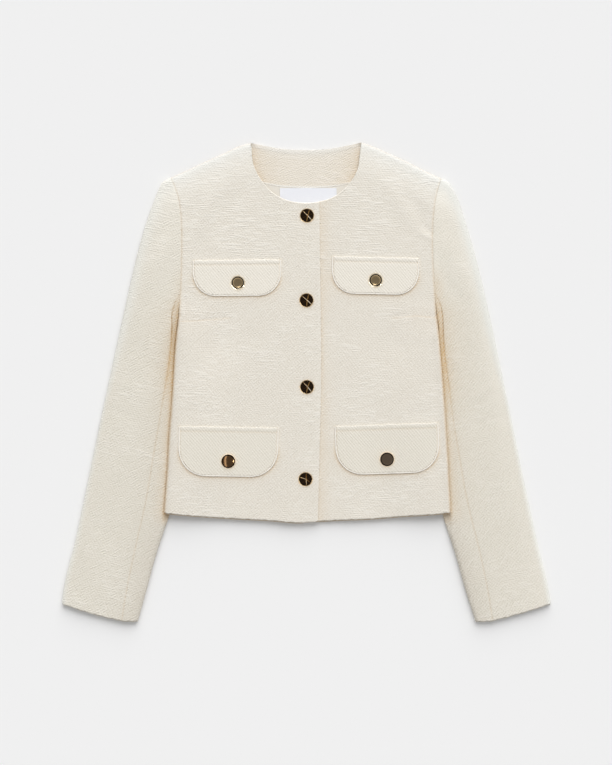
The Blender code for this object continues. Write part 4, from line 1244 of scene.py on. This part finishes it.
def makeFlap(name, row, surface):
    kind = name.split("_")[0]
    margin = flap["piping"] - flap["tuck"]
    straight = row["height"] - row["cornerY"]
    depth = row["cornerY"] - margin
    upper = spread(straight, flap["step"], flap["topSteps"]) * straight
    arc = straight + depth * np.sin(np.linspace(0, np.pi / 2, int(depth * 1.35 / flap["step"])))[1:]
    down = np.concatenate([upper, arc])
    across = np.linspace(-1, 1, int(row["width"] / flap["step"]))
    half = halfWidth(row, down, margin)[:, None]
    flat = plan(half * across[None], -down[:, None])
    share, rate, reach = flap["uneven"]
    flat[..., 1] += share * wander(flat[..., 0] * rate) * bell(down, reach)[:, None]
    grid = turned(flat, row)
    base = np.array([[heightOn(surface, *point) for point in line] for line in grid]) + flap["rest"]
    ridge, start, end = flap["ridge"]
    rise = ridge * ramp(down, end, start) + hump(down, flap["ditch"][kind])
    rise -= flap["wall"] * flap["folded"] * (1 - edgeShare(down * flap["folded"]))
    rounding, rate = flap["rounding"]
    foot, sides = (
        rounding * (1 - edgeShare(away * rate))
        for away in (row["height"] - margin - down, (1 - np.abs(across)) * row["width"] / 2)
    )
    top = base + flap["wall"] + (rise - foot)[:, None] - sides[None]
    # painted warm shade along the stitched line and the sides, and painted highlight and shade along the fold
    shade = hump(down, flap["ditchShade"])[:, None] + hump((1 - np.abs(across)) * half, flap["sideShade"])
    fold = np.repeat(hump(down, flap["paintedFoldLine"])[:, None], len(across), axis=1)
    return makeShell(
        f"flap_{name}_cloth", raised(grid, top), raised(grid, base), flapTweed[kind],
        crevice=shade, deep=0.1 * fold, rim=0.15 * fold,
    )


def makePiping(name, row, surface):
    path = flapOutline(row, flap["piping"] / 2)
    curve = bpy.data.curves.new(f"piping_{name}_cord", "CURVE")
    curve.dimensions = "3D"
    curve.bevel_depth = flap["piping"] / 2 * mm
    curve.bevel_resolution = 4
    curve.use_fill_caps = True
    spline = curve.splines.new("POLY")
    spline.points.add(len(path) - 1)
    for point, (x, y) in zip(spline.points, path):
        z = heightOn(surface, x, y) - flap["sunk"] + flap["piping"] / 2
        point.co = (x * mm, y * mm, z * mm, 1)
    spline.use_smooth = True
    curve.materials.append(pipingCotton)
    return addPiece(f"piping_{name}_cord", curve)


flaps, pipings = {}, {}
frontSurfaces = {side: surfaceOf(fronts[side]) for side in signOf}
for name, row in zip(flapNames, flapRows):
    surface = frontSurfaces[name.split("_")[1]]
    flaps[name] = makeFlap(name, row, surface)
    pipings[name] = makePiping(name, row, surface)
print("flaps made")

button = {
    "height": 3.4,
    "steps": 84,             # points round it
    "seatRing": 0.8,         # it sits on the cloth under this share of its radius
    "facets": 7,
    "facetDepth": 0.16,
    "offCentre": 0.1,        # share of the radius by which the gem's facets meet beside the middle
    "faceRadius": 0.9,
    "ridgeHeight": 0.36,
    "ridgeFoot": 0.3,        # of a ridge, in the face
    "ridgeSlope": (0.8, 0.28),    # share of the button's height at the middle, and its fall to the rim
    "turns": (0.0, 0.07, -0.05, 0, 0, 0, 0, 0),    # in radians, as they were sewn on
}
buttonRows = table(
    "x y diameter",
    (1.4, 233.1, 20), (0.7, 114.8, 20), (1.4, -6.3, 20), (-0.7, -135.1, 20),
    (-95.2, 139.3, 20), (97.3, 142.8, 20), (-108.4, -109.9, 21), (113.0, -107.1, 21),
)
buttonNames = [f"front_button_{n}" for n in (1, 2, 3, 4)] + [f"button_{name}" for name in flapNames]


def rimArc(inner, outer, low, high):
    # a rim that is round outside and steep inside
    turns = np.radians(range(0, 91, 15))
    return [(inner + (outer - inner) * math.cos(a), low + (high - low) * math.sin(a), 0) for a in turns]


# half sections: share of the radius, share of the height, and the finish of the ring up to there:
# 0 rim, 1 face, 2 groove round the face, 3 dull gold, 4 pale gold
buttonSide = [(0.0, 0.0, 0), (0.8, 0.0, 0), (0.94, 0.12, 0), (0.99, 0.3, 0)]
gemSection = buttonSide + rimArc(0.92, 1.0, 0.5, 0.78) + [(0.91, 0.56, 0)] + [
    (0.9, 0.56, 1), (0.7, 0.60, 1), (0.5, 0.66, 1), (0.3, 0.72, 1), (0.15, 0.76, 1), (0.0, 0.80, 1),
]


def domedSection(rim, groove, edge):
    # a low dome inside a groove, with the share of the radius at which each of them starts
    shoulderAt = 0.63 + 0.4 * (edge - 0.7)
    return buttonSide + rimArc(rim, 1.0, 0.4, 0.8) + [
        (rim - 0.005, 0.6, 0), (groove, 0.56, 2), (edge + 0.04, 0.58, 2), (edge + 0.01, 0.78, 2),
        (edge, 0.84, 1), (shoulderAt, 0.89, 1), (0.5, 0.94, 1), (0.35, 0.97, 1), (0.18, 0.99, 1),
        (0.0, 1.0, 1),
    ]


# the gem's ridges: angle in degrees, share of the radius they reach to, width, finish
# pale gold on the brightest ridges and dull gold on the rest: painted highlight and shade
gemRidges = {
    "upper": (
        (20, 0.7, 1.0, 3), (67, 0.84, 2.0, 3), (132, 0.86, 1.7, 4),
        (205, 0.6, 1.0, 3), (267, 0.84, 2.0, 3), (317, 0.88, 1.9, 4),
    ),
    "last": (
        (20, 0.6, 1.0, 3), (84, 0.84, 1.6, 3), (160, 0.86, 1.6, 4),
        (225, 0.6, 1.0, 3), (279, 0.86, 1.7, 4), (325, 0.7, 1.6, 3),
    ),
}
ridgeFaces = ((0, 3, 5, 2), (1, 2, 5, 4), (0, 1, 4, 3), (0, 2, 1), (3, 4, 5))


def gemPoint(share, angle, radius, turn):
    # the facets meet off centre, and dip halfway between their ridges
    shift = button["offCentre"] * radius * (1 - share / button["faceRadius"])
    wave = abs((((angle - turn) / (2 * math.pi) * button["facets"]) % 1) - 0.5) * 2
    px = share * radius * math.cos(angle) + shift * math.cos(turn)
    py = share * radius * math.sin(angle) + shift * math.sin(turn)
    return px, py, button["facetDepth"] * wave * share


def gemRidge(x, y, seat, angle, reach, width, radius, turn):
    # a low ridge with a sharp back, from near the middle of the gem outwards
    corners = []
    across = np.array((-math.sin(angle), math.cos(angle)))
    for share, narrowed in ((0.02, 1), (reach, 0.6)):
        middle = np.array((x, y)) + gemPoint(share, angle, radius, turn)[:2]
        start, slope = button["ridgeSlope"]
        base = seat + (start - slope * share) * button["height"]
        half = width / 2 * narrowed * across
        corners += [(*(middle + way * half), base - button["ridgeFoot"]) for way in (1, -1)]
        corners.append((*middle, base + button["ridgeHeight"]))
    return corners


def makeButton(name, x, y, diameter, surface, section, rimFinish, faceFinish, turn, ridges):
    radius = diameter / 2
    ring = button["seatRing"] * radius
    nearby = [(x + ring * math.cos(a), y + ring * math.sin(a)) for a in np.radians(range(0, 360, 45))]
    seat = max(heightOn(surface, *spot) for spot in [(x, y), *nearby]) + cloth["gap"]
    gem = section is gemSection
    angles = np.linspace(0, 2 * np.pi, button["steps"], endpoint=False)
    points, rings, faces, finishes = [], [], [], []
    for share, height, kind in section:
        around = angles if share else angles[:1]
        rings.append(range(len(points), len(points) + len(around)))
        for angle in around:
            px, py, dip = share * radius * math.cos(angle), share * radius * math.sin(angle), 0.0
            if gem and kind == 1:
                px, py, dip = gemPoint(share, angle, radius, turn)
            points.append((x + px, y + py, seat + height * button["height"] - dip))
    for low, high, (_, _, kind) in zip(rings, rings[1:], section[1:]):
        for k in range(button["steps"]):
            following = (k + 1) % button["steps"]
            corners = ((low, k), (low, following), (high, following), (high, k))
            # where a ring is one point, the repeated corner drops out and the face is a triangle
            faces.append(tuple(dict.fromkeys(row[n % len(row)] for row, n in corners)))
            finishes.append(kind)
    for angle, reach, width, finish in ridges:
        faces += [tuple(len(points) + k for k in face) for face in ridgeFaces]
        finishes += [finish] * len(ridgeFaces)
        points += gemRidge(x, y, seat, math.radians(angle) + turn, reach, width, radius, turn)
    mesh = bpy.data.meshes.new(name)
    mesh.from_pydata((np.array(points) * mm).tolist(), [], faces)
    for finish in (rimFinish, faceFinish, darkGroove, dullGold, goldPlate):
        mesh.materials.append(finish)
    mesh.polygons.foreach_set("material_index", finishes)
    mesh.shade_smooth()
    if gem:
        mesh.polygons.foreach_set("use_smooth", [kind == 0 for kind in finishes])
    mesh.set_sharp_from_angle(angle=math.radians(48))
    return addPiece(name, mesh)


domed = {"chest": domedSection(0.84, 0.82, 0.7), "waist": domedSection(0.91, 0.89, 0.75)}
flapButtons = {
    "chest_right": (domed["chest"], goldPlate, bronzeMirror),
    "chest_left": (domed["chest"], goldPlate, bronzeMirror),
    # painted reflection: the waist buttons' faces differ only in tint
    "waist_right": (domed["waist"], satinGold, brownMirror),
    "waist_left": (domed["waist"], satinGold, greyMirror),
}
buttons = {}
for number, name in enumerate(buttonNames):
    place = name.removeprefix("button_")
    surface, look, ridges = frontSurfaces["right"], (gemSection, warmGold, smokedMirror), ()
    if place in flaps:
        surface, look = surfaceOf(flaps[place]), flapButtons[place]
    else:
        ridges = gemRidges["last" if name == "front_button_4" else "upper"]
    x, y, diameter = (float(buttonRows[key][number]) for key in ("x", "y", "diameter"))
    turn = button["turns"][number]
    buttons[name] = makeButton(f"{name}_metal", x, y, diameter, surface, *look, turn, ridges)
print("buttons made")


# What each piece stands for. The sleeves' pieces also list the cut of their sheets of cloth, width,
# length and area of what lies in them here in metres, which nothing reads

standFor(back, "back")
for side in signOf:
    standFor(fronts[side], f"front_{side}")
    for part, flat, area in (("upper_sleeve", (0.11, 0.65), 0.0515), ("under_sleeve", (0.165, 0.62), 0.0695)):
        standFor(sleeves[side][part], f"{part}_{side}")
standFor(facing, "back_neck_facing")
standFor(lining, "back_lining")
standFor(label, "neck_label")
for name in flapNames:
    standFor(pipings[name], f"piping_{name}")
    standFor(flaps[name], f"flap_{name}")
for name in buttonNames:
    standFor(buttons[name], name)
clothPieces = [back, facing, lining, label, *fronts.values(), *flaps.values(), *pipings.values()]
clothPieces += [piece for pair in sleeves.values() for piece in pair.values()]
print("pieces ride on the part")


# Floor, light and camera

studio = {
    "floor": "f4f4f4",
    "floorReach": 2.5,           # metres
    "sky": 0.665,                # soft light from all round
    "overhead": 0.2,             # the dark ceiling round the camera, which the metal mirrors
    "overheadAngle": (17.0, 30.0),
    # lamps that only the metal mirrors: place, width and length in metres, power, and whose they are
    "glints": (
        ((-0.95, -0.8, 0.85), 1.5, 0.5, 18.0, ("front", "chest")),
        ((1.1, -0.55, 0.9), 0.26, 0.26, 5.0, ("front", "chest")),
        ((-0.36, 0.0, 1.35), 1.3, 0.15, 0.65, ("waist_right",)),
        ((0.28, -0.16, 1.25), 0.16, 0.16, 0.6, ("waist_right",)),
        ((0.0, -0.3, 1.3), 0.36, 0.28, 0.5, ("chest",)),
    ),
    "sun": 2.85,
    "sunLean": (-56.0, 12.0),    # degrees: the key light comes from beyond the neck
    "sunSize": 58.0,
    "glow": ((0, 1.1, 0.95), 1.4, 0.7, 1.2),    # a lamp beyond the neck that lights only the cloth
    "lens": 85.0,
    "sensor": 36.0,
    "frameHeight": 1071.0,       # of the view at the cloth, in millimetres like the next
    "clothHeight": 4.0,
}


def makeFloor():
    mesh = bpy.data.meshes.new("floor")
    reach = studio["floorReach"]
    corners = [(x * reach, y * reach, 0) for x, y in ((-1, -1), (1, -1), (1, 1), (-1, 1))]
    mesh.from_pydata(corners, [], [(0, 1, 2, 3)])
    paper = {"Base Color": linear(studio["floor"]), "Roughness": 0.9, "Specular IOR Level": 0.1}
    mesh.materials.append(newMaterial("palePaperFloor", paper)[0])
    floor = addPiece("floor", mesh)
    floor.location.z = -0.2 * mm


def makeSky():
    world = bpy.data.worlds.new("softStudio")
    bpy.context.scene.world = world
    world.use_nodes = True
    tree = world.node_tree
    tree.nodes.clear()
    place = addNode(tree, "TexCoord").outputs["Generated"]
    upward = addNode(tree, "SeparateXYZ", links={0: place}).outputs["Z"]
    near, far = (math.cos(math.radians(a)) for a in studio["overheadAngle"])
    levels = {"From Min": far, "From Max": near, "To Min": studio["sky"], "To Max": studio["overhead"]}
    bright = addNode(tree, "MapRange", {**smooth, **levels}, {0: upward})
    background = addNode(tree, "Background", links={"Strength": bright})
    addNode(tree, "OutputWorld", links={"Surface": background})


def gather(name, pieces):
    group = bpy.data.collections.new(name)
    for piece in pieces:
        group.objects.link(piece)
    return group


def addPanel(name, place, width, length, power, lit):
    # a flat lamp that faces the jacket and lights only some pieces
    light = bpy.data.lights.new(name, "AREA")
    light.shape, light.size, light.size_y, light.energy = "RECTANGLE", width, length, power
    panel = addPiece(name, light)
    panel.location = place
    panel.rotation_euler = (-panel.location).to_track_quat("-Z", "Y").to_euler()
    panel.light_linking.receiver_collection = lit
    return panel


def makeLight():
    for number, (*panel, kinds) in enumerate(studio["glints"]):
        mirrors = [piece for name, piece in buttons.items() if any(kind in name for kind in kinds)]
        glint = addPanel(f"glint_{number}", *panel, gather(f"mirrorsOfGlint_{number}", mirrors))
        glint.visible_diffuse = False
    light = bpy.data.lights.new("key", "SUN")
    light.energy, light.angle = studio["sun"], math.radians(studio["sunSize"])
    key = addPiece("key", light)
    key.rotation_euler = [math.radians(a) for a in (*studio["sunLean"], 0)]
    key.visible_glossy = False
    lit = gather("litByGlow", clothPieces)
    addPanel("glow", *studio["glow"], lit)
    key.light_linking.blocker_collection = lit    # the small buttons cast no shadow of the key light


def makeCamera():
    camera = bpy.data.cameras.new("camera")
    camera.lens, camera.sensor_width, camera.clip_end = studio["lens"], studio["sensor"], 20
    seen = addPiece("camera", camera)
    distance = studio["frameHeight"] * studio["lens"] / studio["sensor"]
    seen.location = (0, 0, (distance + studio["clothHeight"]) * mm)
    bpy.context.scene.camera = seen


makeFloor()
makeSky()
makeLight()
makeCamera()
bpy.context.scene.view_settings.view_transform = "Standard"
print("studio made")
